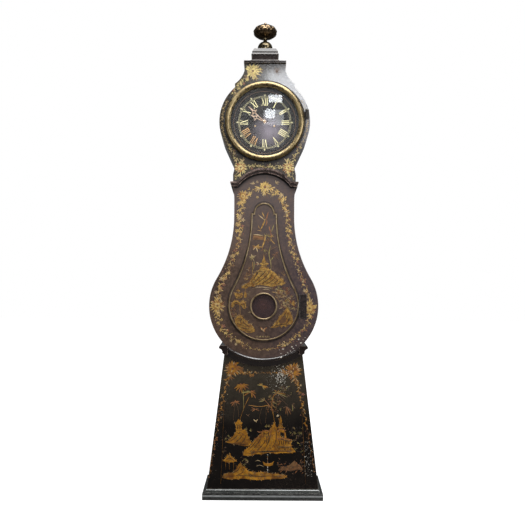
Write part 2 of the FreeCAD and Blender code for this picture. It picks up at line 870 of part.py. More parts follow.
def make_dial_door():
    middle = (bezel_inner + bezel_outer) / 2
    rim = bezel_high / 3
    seat_radius = bezel_inner + bezel_lip
    ring = spun((seat_radius, 0), [(bezel_outer, 0), (bezel_outer, rim), ((middle, bezel_high),
                (bezel_inner, rim)), (bezel_inner, bezel_lip_high), (seat_radius, bezel_lip_high)],
                bezel_back_y, dial_z)
    arm_low = dial_hinge_z - dial_hinge_high / 4
    arm = block(middle, dial_hinge_axis_x, bezel_back_y - hinge_knuckle_radius, bezel_back_y,
                arm_low, arm_low + dial_hinge_high / 2)
    arm = arm.cut(rod(0, bezel_back_y - bezel_high, dial_z, bezel_outer - hinge_notch, bezel_high))
    save("bezel_ring", ring)
    knuckle = post(dial_hinge_axis_x, dial_hinge_axis_y, arm_low, hinge_knuckle_radius,
                   dial_hinge_high / 2)
    hole = post(dial_hinge_axis_x, dial_hinge_axis_y, arm_low, hinge_pin_radius + fit,
                dial_hinge_high / 2)
    save("bezel_hinge_leaf", fused([arm, knuckle]).cut(hole).cut(ring))
    rise = glass_rise
    dome = (seat_radius ** 2 + rise ** 2) / (2 * rise)
    rim_angle = math.degrees(math.asin((seat_radius - glass_seat) / dome))
    outer = arc_step((0, -dome), dome, 90 - rim_angle, 90)
    inner = arc_step((0, -dome), dome - glass_thick, 90, 90 - rim_angle)
    start = on_circle((0, -dome), dome, 90 - rim_angle)
    lift = bezel_lip_high - start[1] - glass_seat
    save("dial_glass", spun(start, [outer, (0, -glass_thick), inner], bezel_back_y - lift, dial_z))


def make_dial_door_fittings():
    low = dial_hinge_z - dial_hinge_high / 2
    end_high = dial_hinge_high / 4 - gap
    plate_x = dial_hinge_axis_x + hinge_knuckle_radius + hinge_notch
    plate_y = hood_front_y - hinge_plate_thick
    pieces = [block(plate_x, plate_x + dial_hinge_plate_wide, plate_y, hood_front_y,
                    low, low + dial_hinge_high)]
    for z in (low, low + dial_hinge_high - end_high):
        pieces.append(post(dial_hinge_axis_x, dial_hinge_axis_y, z, hinge_knuckle_radius, end_high))
        pieces.append(block(dial_hinge_axis_x, plate_x, plate_y, hood_front_y, z, z + end_high))
    pieces.append(post(dial_hinge_axis_x, dial_hinge_axis_y, low, hinge_pin_radius, dial_hinge_high))
    save("bezel_hinge_plate", fused(pieces))
    catch_x = -bezel_outer - catch_out - catch_wide
    catch = block(catch_x, catch_x + catch_wide, hood_front_y - catch_thick, hood_front_y,
                  dial_z - catch_high / 2, dial_z + catch_high / 2)
    pins = [rod(catch_x + catch_wide * share, hood_front_y - catch_thick - catch_pin_high, dial_z,
                catch_pin_radius, catch_pin_high) for share in (0.25, 0.75)]
    save("bezel_catch", fused([catch] + pins))


# Wheels

def gear(x, z, y, teeth, module, thick, hole, tooth_at):
    """A wheel with plain straight-sided teeth, one of them centred at the angle tooth_at."""
    pitch = 360 / teeth
    tip = module * (teeth / 2 + 1)
    root = module * (teeth / 2 - 1.25)
    tip_share, root_share = 0.09, 0.21
    if teeth < 12:
        tip_share, root_share = 0.07, 0.17
    points = []
    for tooth in range(teeth):
        angle = tooth_at + tooth * pitch
        for radius, share in ((root, -root_share), (tip, -tip_share), (tip, tip_share), (root, root_share)):
            px, pz = on_circle((x, z), radius, angle + share * pitch)
            points.append(V(px, y, pz))
    solid = Part.Face(Part.makePolygon(points + points[:1])).extrude(V(0, thick, 0))
    if hole:
        solid = solid.cut(rod(x, y, z, hole, thick))
    return solid


def crossed_out(wheel, x, z, y, thick, hub, rim):
    """Opens a wheel between its hub and rim, leaving four arms."""
    arm = hub * 0.6
    ring = rod(x, y, z, rim, thick).cut(rod(x, y, z, hub, thick))
    arms = fused([block(x - rim, x + rim, y, y + thick, z - arm / 2, z + arm / 2),
                  block(x - arm / 2, x + arm / 2, y, y + thick, z - rim, z + rim)])
    return wheel.cut(ring.cut(arms))


def facing(teeth, angle):
    """Where a tooth stands so that a gap faces the angle."""
    return angle + 180 / teeth


def make_great(side, name, wheel_y):
    x = side * great_x
    down = -great_drop_deg if side > 0 else 180 + great_drop_deg
    tooth_at = 180 + down
    if side < 0:
        tooth_at = fly_deg
    wheel = gear(x, great_z, wheel_y, great_teeth, train_module, wheel_thick,
                 barrel_arbor_radius + fit, tooth_at)
    rim = train_module * great_teeth / 2 - 6 * train_module
    save(name + "_great_wheel", crossed_out(wheel, x, great_z, wheel_y, wheel_thick,
                                            drum_radius / 2, rim))
    drum_y = wheel_y - gap * 2 - drum_long
    drum = rod(x, drum_y, great_z, drum_radius, drum_long)
    flanges = [rod(x, y, great_z, drum_flange, drum_flange_thick)
               for y in (drum_y, drum_y + drum_long - drum_flange_thick)]
    arbor = rod(x, front_plate_y - gap, great_z, barrel_arbor_radius, arbor_back_y - front_plate_y + gap)
    half = winding_square / 2
    square = block(x - half, x + half, dial_back_y + gap * 4, front_plate_y, great_z - half, great_z + half)
    save(name + "_barrel", fused([drum, arbor, square] + flanges))


def make_going_train():
    pinion = gear(0, dial_z, great_y - (pinion_long - wheel_thick) / 2, centre_pinion_teeth, train_module,
                  pinion_long, 0, facing(centre_pinion_teeth, -great_drop_deg))
    wheel = gear(0, dial_z, centre_wheel_y, centre_teeth, fine_module, wheel_thick, 0, 90)
    wheel = crossed_out(wheel, 0, dial_z, centre_wheel_y, wheel_thick, pipe_radius * 2,
                        fine_module * (centre_teeth / 2 - 5))
    arbor = rod(0, minute_hand_y - hand_thick, dial_z, arbor_radius,
                arbor_back_y - minute_hand_y + hand_thick)
    save("centre_wheel", fused([pinion, wheel, arbor]))
    third_pinion = gear(0, third_z, centre_wheel_y - (pinion_long - wheel_thick) / 2, third_pinion_teeth,
                        fine_module, pinion_long, 0, facing(third_pinion_teeth, 270))
    third = gear(0, third_z, third_wheel_y, third_teeth, fine_module, wheel_thick, 0, 90)
    third = crossed_out(third, 0, third_z, third_wheel_y, wheel_thick, pipe_radius * 2,
                        fine_module * (third_teeth / 2 - 5))
    arbor_long = arbor_back_y - front_plate_y
    small = arbor_radius * 0.6
    save("third_wheel", fused([third_pinion, third, rod(0, front_plate_y, third_z, small, arbor_long)]))
    escape_pinion = gear(0, escape_z, third_wheel_y - (pinion_long - wheel_thick) / 2,
                         escape_pinion_teeth, fine_module, pinion_long, 0,
                         facing(escape_pinion_teeth, 270))
    save("escape_wheel", fused([escape_pinion, escape_disc(),
                                rod(0, front_plate_y, escape_z, small, arbor_long)]))


def escape_disc():
    """A wheel of thirty raked, pointed teeth."""
    pitch = 360 / escape_teeth
    root = escape_radius * 0.82
    points = []
    for tooth in range(escape_teeth):
        for radius, share in ((root, 0), (escape_radius, 0.35), (escape_radius, 0.42), (root, 0.5)):
            px, pz = on_circle((0, escape_z), radius, (tooth + share) * pitch)
            points.append(V(px, escape_wheel_y, pz))
    disc = Part.Face(Part.makePolygon(points + points[:1])).extrude(V(0, wheel_thick / 2, 0))
    return crossed_out(disc, 0, escape_z, escape_wheel_y, wheel_thick / 2, pipe_radius * 2, root * 0.8)


def make_motion_work():
    pipe_end = minute_hand_y
    cannon = gear(0, dial_z, motion_y, cannon_teeth, motion_module, motion_thick, 0, facing(cannon_teeth, 270))
    pipe = rod(0, pipe_end, dial_z, pipe_radius, motion_y + motion_thick - pipe_end)
    bore = rod(0, pipe_end, dial_z, arbor_radius, motion_y + motion_thick - pipe_end)
    save("cannon_pinion", fused([cannon, pipe]).cut(bore))
    hour = gear(0, dial_z, hour_wheel_y, hour_wheel_teeth, hour_module, motion_thick, 0, 270)
    hour = crossed_out(hour, 0, dial_z, hour_wheel_y, motion_thick, hour_pipe_radius * 2,
                       hour_module * (hour_wheel_teeth / 2 - 5))
    pipe_end = hour_hand_y
    pipe = rod(0, pipe_end, dial_z, hour_pipe_radius, hour_wheel_y - pipe_end)
    bore = rod(0, pipe_end, dial_z, pipe_radius + fit, hour_wheel_y + motion_thick - pipe_end)
    save("hour_wheel", fused([hour, pipe]).cut(bore))
    wheel = gear(0, minute_wheel_z, motion_y, minute_wheel_teeth, motion_module, motion_thick, 0, 90)
    pinion = gear(0, minute_wheel_z, hour_wheel_y, minute_pinion_teeth, hour_module, motion_y - hour_wheel_y,
                  0, facing(minute_pinion_teeth, 90))
    bore = rod(0, hour_wheel_y, minute_wheel_z, stud_radius + fit, motion_y + motion_thick - hour_wheel_y)
    save("minute_wheel", fused([wheel, pinion]).cut(bore))


def hand(length, y, hub):
    """A pierced hand that points up: boss, stem, ring with two curled wings, and a spear tip."""
    ring_at = length * 0.66
    spear_at = ring_at + hand_ring_radius
    half = hand_stem_half
    steps = [(half, 0), (half * 0.7, ring_at), (-half * 0.7, ring_at), (-half, 0)]
    stem = board(steps[0], steps[1:], y, hand_thick)
    ring = rod(0, y, ring_at, hand_ring_radius, hand_thick)
    crescents = []
    for side in (-1, 1):
        moon = rod(side * hand_wing, y, ring_at, hand_wing * 0.6, hand_thick)
        bite = rod(side * hand_wing * 1.15, y, ring_at + hand_wing * 0.3, hand_wing * 0.5, hand_thick)
        crescents.append(moon.cut(bite))
    tip = [(hand_stem_half, spear_at - hand_stem_half), (hand_spear_half, spear_at + hand_spear_half),
           (hand_tip_half, length), (-hand_tip_half, length), (-hand_spear_half, spear_at + hand_spear_half),
           (-hand_stem_half, spear_at - hand_stem_half)]
    spear = board(tip[0], tip[1:], y, hand_thick)
    boss = rod(0, y, 0, hand_boss_radius, hand_thick)
    made = fused([stem, ring, spear, boss] + crescents)
    made = made.cut(rod(0, y, ring_at, hand_ring_hole, hand_thick))
    return made.cut(rod(0, y, 0, hub, hand_thick))


def make_hands():
    for name, length, y, hub, angle in (
            ("minute_hand", minute_hand_long, minute_hand_y, pipe_radius, minute_hand_deg),
            ("hour_hand", hour_hand_long, hour_hand_y, hour_pipe_radius, hour_hand_deg)):
        made = hand(length, y, hub)
        made.rotate(V(0, 0, 0), ACROSS, angle)
        made.translate(V(0, 0, dial_z))
        save(name, made)


# Movement frame and dial

def pillar_spots():
    inner = plate_half - pillar_inset
    return [(x, z) for x in (-inner, inner)
            for z in (seat_top_z + pillar_inset, plate_top_z - pillar_inset)]


def make_frame():
    plates = []
    for y in (front_plate_y, back_plate_y):
        plate = block(-plate_half, plate_half, y, y + plate_thick, seat_top_z, plate_top_z)
        for x, z, radius in ((0, dial_z, arbor_radius), (great_x, great_z, barrel_arbor_radius),
                             (-great_x, great_z, barrel_arbor_radius), (0, third_z, arbor_radius * 0.6),
                             (0, escape_z, arbor_radius * 0.6), (0, anchor_z, arbor_radius),
                             (fly_x, fly_z, arbor_radius * 0.6),
                             (hammer_axis_x, hammer_z, arbor_radius)):
            plate = plate.cut(rod(x, y, z, radius + fit, plate_thick))
        plates.append(plate)
    stud = rod(0, hour_wheel_y - gap, minute_wheel_z, stud_radius, front_plate_y - hour_wheel_y + gap)
    save("front_plate", plates[0].fuse(stud).removeSplitter())
    save("back_plate", plates[1])
    save("pillars", Part.makeCompound([rod(x, front_plate_back, z, pillar_radius, plate_spacing)
                                       for x, z in pillar_spots()]))
    dial = rod(0, dial_front_y, dial_z, dial_radius, dial_thick)
    feet = [rod(x, dial_back_y, dial_z + z, dial_foot_radius, front_plate_behind_dial)
            for x in (-dial_foot_x, dial_foot_x) for z in (-dial_foot_low, dial_foot_top)]
    dial = fused([dial] + feet).cut(rod(0, dial_front_y, dial_z, dial_hole_radius, dial_thick))
    for side in (-1, 1):
        dial = dial.cut(rod(side * great_x, dial_front_y, great_z, winding_hole_radius, dial_thick))
    save("dial", dial)


def make_escapement():
    band_in = escape_radius + anchor_clear
    y = escape_wheel_y - (anchor_thick - wheel_thick / 2) / 2
    band = rod(0, y, escape_z, band_in + anchor_band, anchor_thick).cut(
        rod(0, y, escape_z, band_in, anchor_thick))
    reach = 2 * band_in + anchor_rise
    left = (reach * math.cos(math.radians(90 + anchor_spread_deg)),
            escape_z + reach * math.sin(math.radians(90 + anchor_spread_deg)))
    wedge = board((0, escape_z), [(-left[0], left[1]), left], y, anchor_thick)
    stem = block(-anchor_stem_half, anchor_stem_half, y, y + anchor_thick,
                 escape_z + band_in + anchor_band / 2, anchor_z)
    boss = rod(0, y, anchor_z, arbor_radius * 2, anchor_thick)
    crutch_y = back_plate_back + crutch_behind_plate
    arbor = rod(0, front_plate_y, anchor_z, arbor_radius, crutch_y + crutch_radius - front_plate_y)
    crutch = post(0, crutch_y, anchor_z - crutch_long, crutch_radius, crutch_long)
    tine_x = rod_radius + gap + crutch_radius
    foot_z = anchor_z - crutch_long
    bar = Part.makeCylinder(crutch_radius, 2 * tine_x, V(-tine_x, crutch_y, foot_z), V(1, 0, 0))
    tines = [rod(side * tine_x, crutch_y, foot_z, crutch_radius, pendulum_y - crutch_y + rod_radius)
             for side in (-1, 1)]
    save("anchor", fused([band.common(wedge), stem, boss, arbor, crutch, bar] + tines))
    cock_low = anchor_z + cock_above_axis
    cock = block(-cock_half, cock_half, back_plate_back, pendulum_y + cock_deep_over,
                 cock_low, cock_low + cock_high)
    slot_half = cock_slot / 2
    slot = block(-slot_half, slot_half, pendulum_y - strip_half - gap * 2, pendulum_y + cock_deep_over,
                 cock_low, cock_low + cock_high)
    save("pendulum_cock", cock.cut(slot))


def make_pendulum():
    strip = block(-strip_thick / 2, strip_thick / 2, pendulum_y - strip_half, pendulum_y + strip_half,
                  anchor_z - strip_below, anchor_z + strip_above)
    pin_long = cock_slot / 2 + crutch_radius * 2
    head_z = anchor_z + cock_above_axis + cock_high + gap * 2
    head = block(-pin_long, pin_long, pendulum_y - strip_half, pendulum_y + strip_half,
                 head_z, head_z + strip_half)
    neck = block(-strip_thick / 2, strip_thick / 2, pendulum_y - strip_half, pendulum_y + strip_half,
                 anchor_z + strip_above, head_z)
    low = belly_z - bob_radius - rod_tail
    stem = post(0, pendulum_y, low, rod_radius, anchor_z - strip_below + rod_radius - low)
    save("pendulum_rod", fused([strip, neck, head, stem]))
    half = bob_thick / 2
    crown = ((bob_radius * 0.6, half * 0.9), (bob_radius, bob_rim / 2))
    back = ((bob_radius * 0.6, -half * 0.9), (0, -half))
    lens = spun((0, half), [crown, (bob_radius, -bob_rim / 2), back], pendulum_y, belly_z)
    hole = post(0, pendulum_y, belly_z - bob_radius, rod_radius + fit, 2 * bob_radius)
    save("pendulum_bob", lens.cut(hole))
    nut_z = belly_z - bob_radius - gap - nut_high
    nut = post(0, pendulum_y, nut_z, nut_radius, nut_high)
    save("rating_nut", nut.cut(post(0, pendulum_y, nut_z, rod_radius + fit, nut_high)))


def make_striking():
    small = arbor_radius * 0.6
    long = arbor_back_y - front_plate_y
    pinion = gear(fly_x, fly_z, strike_great_y - (pinion_long - wheel_thick) / 2, fly_pinion_teeth,
                  train_module, pinion_long, 0, facing(fly_pinion_teeth, 180 + fly_deg))
    vane_y = front_plate_back + train_step
    vane = block(fly_x - fly_vane_thick / 2, fly_x + fly_vane_thick / 2, vane_y, vane_y + fly_vane_wide,
                 fly_z - fly_vane_half, fly_z + fly_vane_half)
    collar = rod(fly_x, vane_y, fly_z, arbor_radius, fly_vane_wide)
    save("fly", fused([pinion, vane, collar, rod(fly_x, front_plate_y, fly_z, small, long)]))
    head_x = -bell_radius - hammer_rest_gap - hammer_head_long / 2
    head_z = bell_z + bell_wall * 2
    arbor = rod(hammer_axis_x, front_plate_y, hammer_z, arbor_radius, long)
    lean = V(head_x - hammer_axis_x, 0, head_z - hammer_z)
    stem = Part.makeCylinder(hammer_stem_radius, lean.Length, V(hammer_axis_x, drop_y, hammer_z), lean)
    head = Part.makeCylinder(hammer_head_radius, hammer_head_long,
                             V(head_x - hammer_head_long / 2, drop_y, head_z), V(1, 0, 0))
    save("hammer", fused([arbor, stem, head]))
    hole = post(0, drop_y, bell_z, bell_post_radius + fit, bell_high + bell_nut_high)
    save("bell", bell_dome(0).cut(hole).cut(bell_dome(bell_wall)))
    top_z = bell_z + bell_high + bell_nut_high
    strap_y = back_plate_back
    strap = block(-stand_half, stand_half, strap_y, strap_y + stand_thick,
                  plate_top_z - pillar_inset, plate_top_z + bell_above_plate / 2)
    arm = block(-stand_half, stand_half, drop_y - stand_half, strap_y + stand_thick,
                plate_top_z + bell_above_plate / 2 - stand_thick, plate_top_z + bell_above_plate / 2)
    stalk_z = plate_top_z + bell_above_plate / 2 - stand_thick
    stalk = post(0, drop_y, stalk_z, bell_post_radius, top_z - stalk_z)
    nut = post(0, drop_y, bell_z + bell_high, bell_nut_radius, bell_nut_high)
    inside = (bell_high - bell_wall) * math.sqrt(1 - (bell_nut_radius / (bell_radius - bell_wall)) ** 2)
    shoulder = post(0, drop_y, stalk_z, bell_nut_radius, bell_z + inside - stalk_z)
    save("bell_stand", fused([strap, arm, stalk, shoulder, nut]))


def bell_dome(inset):
    """The bell's outside, or its hollow when it is drawn in by the wall."""
    wide = bell_radius - inset
    steps = [(wide, -inset), (wide, 0)] + dome_steps(wide, bell_high - inset, 0, 90)
    return turned((0, -inset), steps, 0, drop_y, bell_z)


# Weights and lines

def make_weights():
    low = base_z + weight_floor_gap
    for x, name in zip(line_spots(), ("strike", "going")):
        body = post(x, drop_y, low, weight_radius, weight_high)
        eye_z = low + weight_high + weight_hook_radius
        eye = Part.makeTorus(weight_hook_radius, weight_hook_wire, V(x, drop_y, eye_z), ACROSS)
        save(name + "_weight", fused([body, eye]))
        line_low = eye_z + weight_hook_radius + weight_hook_wire
        save(name + "_line", post(x, drop_y, line_low, line_radius, great_z - line_low))


make_plinth()
make_fronts()
make_sides()
make_back()
make_lower_moulding()
make_upper_moulding()
make_seat()
make_trunk_door()
make_trunk_hinge()
make_hood()
make_top()
make_dial_door()
make_dial_door_fittings()
make_great(1, "going", great_y)
make_great(-1, "strike", strike_great_y)
make_going_train()
make_motion_work()
make_hands()
make_frame()
make_escapement()
make_pendulum()
make_striking()
make_weights()
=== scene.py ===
import bpy
import bmesh
import math
import random
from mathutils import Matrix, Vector
from mathutils.bvhtree import BVHTree
from mathutils.geometry import tessellate_polygon


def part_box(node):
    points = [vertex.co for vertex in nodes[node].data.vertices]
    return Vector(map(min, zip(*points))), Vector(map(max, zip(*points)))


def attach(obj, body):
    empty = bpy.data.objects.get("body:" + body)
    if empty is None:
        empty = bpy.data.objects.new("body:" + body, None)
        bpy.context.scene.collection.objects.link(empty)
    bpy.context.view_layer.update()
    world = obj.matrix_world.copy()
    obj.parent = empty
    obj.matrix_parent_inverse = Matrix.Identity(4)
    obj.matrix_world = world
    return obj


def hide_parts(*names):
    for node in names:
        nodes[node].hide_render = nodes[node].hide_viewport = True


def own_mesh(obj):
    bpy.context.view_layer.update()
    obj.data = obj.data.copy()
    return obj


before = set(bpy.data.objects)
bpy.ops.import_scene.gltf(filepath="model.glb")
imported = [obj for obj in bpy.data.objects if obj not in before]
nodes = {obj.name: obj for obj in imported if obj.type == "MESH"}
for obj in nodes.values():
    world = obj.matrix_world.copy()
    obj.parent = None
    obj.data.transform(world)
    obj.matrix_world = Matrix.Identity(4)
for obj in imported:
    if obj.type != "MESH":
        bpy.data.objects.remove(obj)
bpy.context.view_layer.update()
scene = bpy.context.scene
scene.view_settings.view_transform = "Standard"

# Camera: level, rolled a little, at the photograph's distance
FOCAL_PX, FRAME_PX = 543.0, 525.0
ROLL = math.radians(0.33)
SHIFT = 0.04
EYE = Vector((-0.006, -2.597, 0.9888))
camera_data = bpy.data.cameras.new("camera")
camera_data.sensor_width = 36
camera_data.lens = 36 * FOCAL_PX / FRAME_PX
camera_data.shift_y = SHIFT
camera_data.clip_end = 60


def linked(name, data):
    """A new object of this data, linked into the scene."""
    made = bpy.data.objects.new(name, data)
    scene.collection.objects.link(made)
    return made


camera = linked("camera", camera_data)
camera.location = EYE
camera.rotation_euler = (math.radians(90), -ROLL, 0)
scene.camera = camera


def spot(px, py, depth):
    """Where the camera's pixel (px, py) falls on the plane y = depth, as (x, z)."""
    scale = (depth - EYE.y) / FOCAL_PX
    u, v = px - FRAME_PX / 2, FRAME_PX / 2 - py + SHIFT * FRAME_PX
    return (EYE.x + scale * (u * math.cos(ROLL) - v * math.sin(ROLL)),
            EYE.z + scale * (v * math.cos(ROLL) + u * math.sin(ROLL)))


# Stage and light


def area_light(name, place, aim, size, energy, height=None, color=(1, 1, 1)):
    data = bpy.data.lights.new(name, "AREA")
    data.energy = energy
    data.color = color
    data.size = size
    if height:
        data.shape = "RECTANGLE"
        data.size_y = height
    lamp = linked(name, data)
    lamp.location = place
    lamp.rotation_euler = (Vector(aim) - Vector(place)).to_track_quat("-Z", "Y").to_euler()


COOL = (0.93, 0.96, 1.0)
area_light("window_pane", (0.245, -3.2, 2.97), (0.1, -0.1, 1.7), 0.42, 5.2, 0.40, COOL)
area_light("window_high", (0.50, -3.2, 3.82), (0.05, -0.1, 1.5), 0.62, 9.0, 0.38, COOL)
area_light("window_wall", (0.40, -3.3, 2.84), (0.1, -0.1, 1.7), 0.9, 6.0, 0.72, COOL)
area_light("roof_strip", (0.2, -1.75, 4.0), (0.0, -0.1, 1.4), 4.2, 60, 0.34)
area_light("ceiling", (0.3, -1.2, 4.9), (0.1, -0.3, 0.0), 3.2, 150, 2.4)
area_light("fill_right", (2.6, -3.0, 1.9), (0, 0, 1.1), 1.2, 50, 1.6)
area_light("fill_left", (-2.4, -2.6, 1.3), (0, 0, 0.9), 1.2, 16, 2.2)


def wire(tree, *pairs):
    """Joins pairs of sockets of a node tree."""
    for source, target in pairs:
        tree.links.new(source, target)


def seen_directly(tree):
    """1 for what the camera sees straight or through glass, else 0."""
    path = tree.nodes.new("ShaderNodeLightPath")
    direct = tree.nodes.new("ShaderNodeMath")
    direct.operation = "MAXIMUM"
    wire(tree, (path.outputs["Is Camera Ray"], direct.inputs[0]),
         (path.outputs["Is Transmission Ray"], direct.inputs[1]))
    return direct.outputs[0]


def coloured(tree, kind, color, strength=None):
    """A node of one colour, such as a background or a diffuse surface."""
    made = tree.nodes.new(kind)
    made.inputs["Color"].default_value = (*color, 1)
    if strength is not None:
        made.inputs["Strength"].default_value = strength
    return made.outputs[0]


def make_world():
    """White where it is seen, dim where it lights the clock."""
    world = bpy.data.worlds.new("studio")
    scene.world = world
    world.use_nodes = True
    tree = world.node_tree
    tree.nodes.clear()
    mix = tree.nodes.new("ShaderNodeMixShader")
    out = tree.nodes.new("ShaderNodeOutputWorld")
    wire(tree, (seen_directly(tree), mix.inputs[0]),
         (coloured(tree, "ShaderNodeBackground", (0.95, 0.97, 1), 0.11), mix.inputs[1]),
         (coloured(tree, "ShaderNodeBackground", (1, 1, 1), 1.0), mix.inputs[2]),
         (mix.outputs[0], out.inputs[0]))


FLOOR_HALF, FLOOR_Z = 12, -0.0006


def make_floor():
    """White where it is seen, dark as a carpet where the lacquer mirrors it."""
    mesh = bpy.data.meshes.new("floor")
    corners = ((-1, -1), (1, -1), (1, 1), (-1, 1))
    mesh.from_pydata([(FLOOR_HALF * x, FLOOR_HALF * y, FLOOR_Z) for x, y in corners], [], [(0, 1, 2, 3)])
    floor = linked("floor", mesh)
    made = bpy.data.materials.new("floor_white")
    made.use_nodes = True
    tree = made.node_tree
    tree.nodes.clear()
    glow = tree.nodes.new("ShaderNodeEmission")
    place = tree.nodes.new("ShaderNodeTexCoord")
    away = tree.nodes.new("ShaderNodeVectorMath")
    away.operation = "LENGTH"
    whiter = tree.nodes.new("ShaderNodeMapRange")
    for socket, value in (("From Min", 0.5), ("From Max", 2.2), ("To Min", 0.66), ("To Max", 1.0)):
        whiter.inputs[socket].default_value = value
    both = tree.nodes.new("ShaderNodeAddShader")
    faded = tree.nodes.new("ShaderNodeMixShader")
    out = tree.nodes.new("ShaderNodeOutputMaterial")
    wire(tree, (place.outputs["Object"], away.inputs[0]),
         (away.outputs["Value"], whiter.inputs["Value"]),
         (whiter.outputs["Result"], glow.inputs["Strength"]),
         (coloured(tree, "ShaderNodeBsdfDiffuse", (0.86, 0.86, 0.86)), both.inputs[0]),
         (glow.outputs[0], both.inputs[1]),
         (seen_directly(tree), faded.inputs[0]),
         (coloured(tree, "ShaderNodeBsdfDiffuse", (0.09, 0.085, 0.08)), faded.inputs[1]),
         (both.outputs[0], faded.inputs[2]),
         (faded.outputs[0], out.inputs[0]))
    mesh.materials.append(made)


make_world()
make_floor()


# Materials


class Shader:
    """A material's node tree, with short calls to add and join nodes."""

    def __init__(self, name):
        self.material = bpy.data.materials.new(name)
        self.material.use_nodes = True
        self.tree = self.material.node_tree
        self.surface = self.tree.nodes["Principled BSDF"]
        self.place = self.tree.nodes.new("ShaderNodeTexCoord").outputs["Object"]

    def join(self, source, target):
        if hasattr(source, "links"):
            self.tree.links.new(source, target)
        else:
            target.default_value = source

    def node(self, kind, settings=None, **inputs):
        made = self.tree.nodes.new(kind)
        for key, value in (settings or {}).items():
            setattr(made, key, value)
        for key, value in inputs.items():
            self.join(value, made.inputs[key.replace("_", " ")])
        return made

    def noise(self, scale, detail=3.0, rough=0.5, stretch=None):
        place = self.place
        if stretch:
            mapping = self.node("ShaderNodeMapping", Vector=place, Scale=stretch)
            place = mapping.outputs[0]
        return self.node("ShaderNodeTexNoise", Vector=place, Scale=scale, Detail=detail,
                         Roughness=rough).outputs["Fac"]

    def cells(self, scale, edge=True):
        kind = "DISTANCE_TO_EDGE" if edge else "F1"
        return self.node("ShaderNodeTexVoronoi", {"feature": kind}, Vector=self.place,
                         Scale=scale).outputs["Distance"]

    def band(self, value, low, high, to_low=0.0, to_high=1.0):
        return self.node("ShaderNodeMapRange", Value=value, From_Min=low, From_Max=high,
                         To_Min=to_low, To_Max=to_high).outputs["Result"]

    def sum(self, operation, a, b):
        made = self.node("ShaderNodeMath", {"operation": operation})
        self.join(a, made.inputs[0])
        self.join(b, made.inputs[1])
        return made.outputs[0]

    def mix(self, factor, a, b):
        made = self.node("ShaderNodeMix", {"data_type": "RGBA"})
        self.join(factor, made.inputs["Factor"])
        for value, socket in ((a, made.inputs[6]), (b, made.inputs[7])):
            self.join(value if hasattr(value, "links") else (*value, 1.0), socket)
        return made.outputs[2]

    def edges(self, radius):
        """Near 1 where the surface turns sharply, for worn edges."""
        bevel = self.node("ShaderNodeBevel", {"samples": 4}, Radius=radius)
        ground = self.node("ShaderNodeNewGeometry")
        dot = self.node("ShaderNodeVectorMath", {"operation": "DOT_PRODUCT"})
        self.join(bevel.outputs[0], dot.inputs[0])
        self.join(ground.outputs["Normal"], dot.inputs[1])
        return self.band(dot.outputs["Value"], 0.985, 0.85)

    def bump(self, height, strength, distance):
        self.join(self.node("ShaderNodeBump", Height=height, Strength=strength,
                            Distance=distance).outputs[0], self.surface.inputs["Normal"])

    def finish(self, color, rough, metallic=0.0, coat=0.0, coat_rough=0.1):
        self.join(color if hasattr(color, "links") else (*color, 1.0), self.surface.inputs["Base Color"])
        self.join(rough, self.surface.inputs["Roughness"])
        self.join(metallic, self.surface.inputs["Metallic"])
        self.surface.inputs["Coat Weight"].default_value = coat
        self.surface.inputs["Coat Roughness"].default_value = coat_rough
        return self.material

    def pass_light(self):
        """Lets light fall through glass without bending it, so what is behind stays lit."""
        path = self.node("ShaderNodeLightPath")
        open_way = self.node("ShaderNodeBsdfTransparent")
        both = self.node("ShaderNodeMixShader")
        self.tree.links.new(path.outputs["Is Shadow Ray"], both.inputs[0])
        self.tree.links.new(self.surface.outputs[0], both.inputs[1])
        self.tree.links.new(open_way.outputs[0], both.inputs[2])
        self.tree.links.new(both.outputs[0], self.tree.nodes["Material Output"].inputs["Surface"])


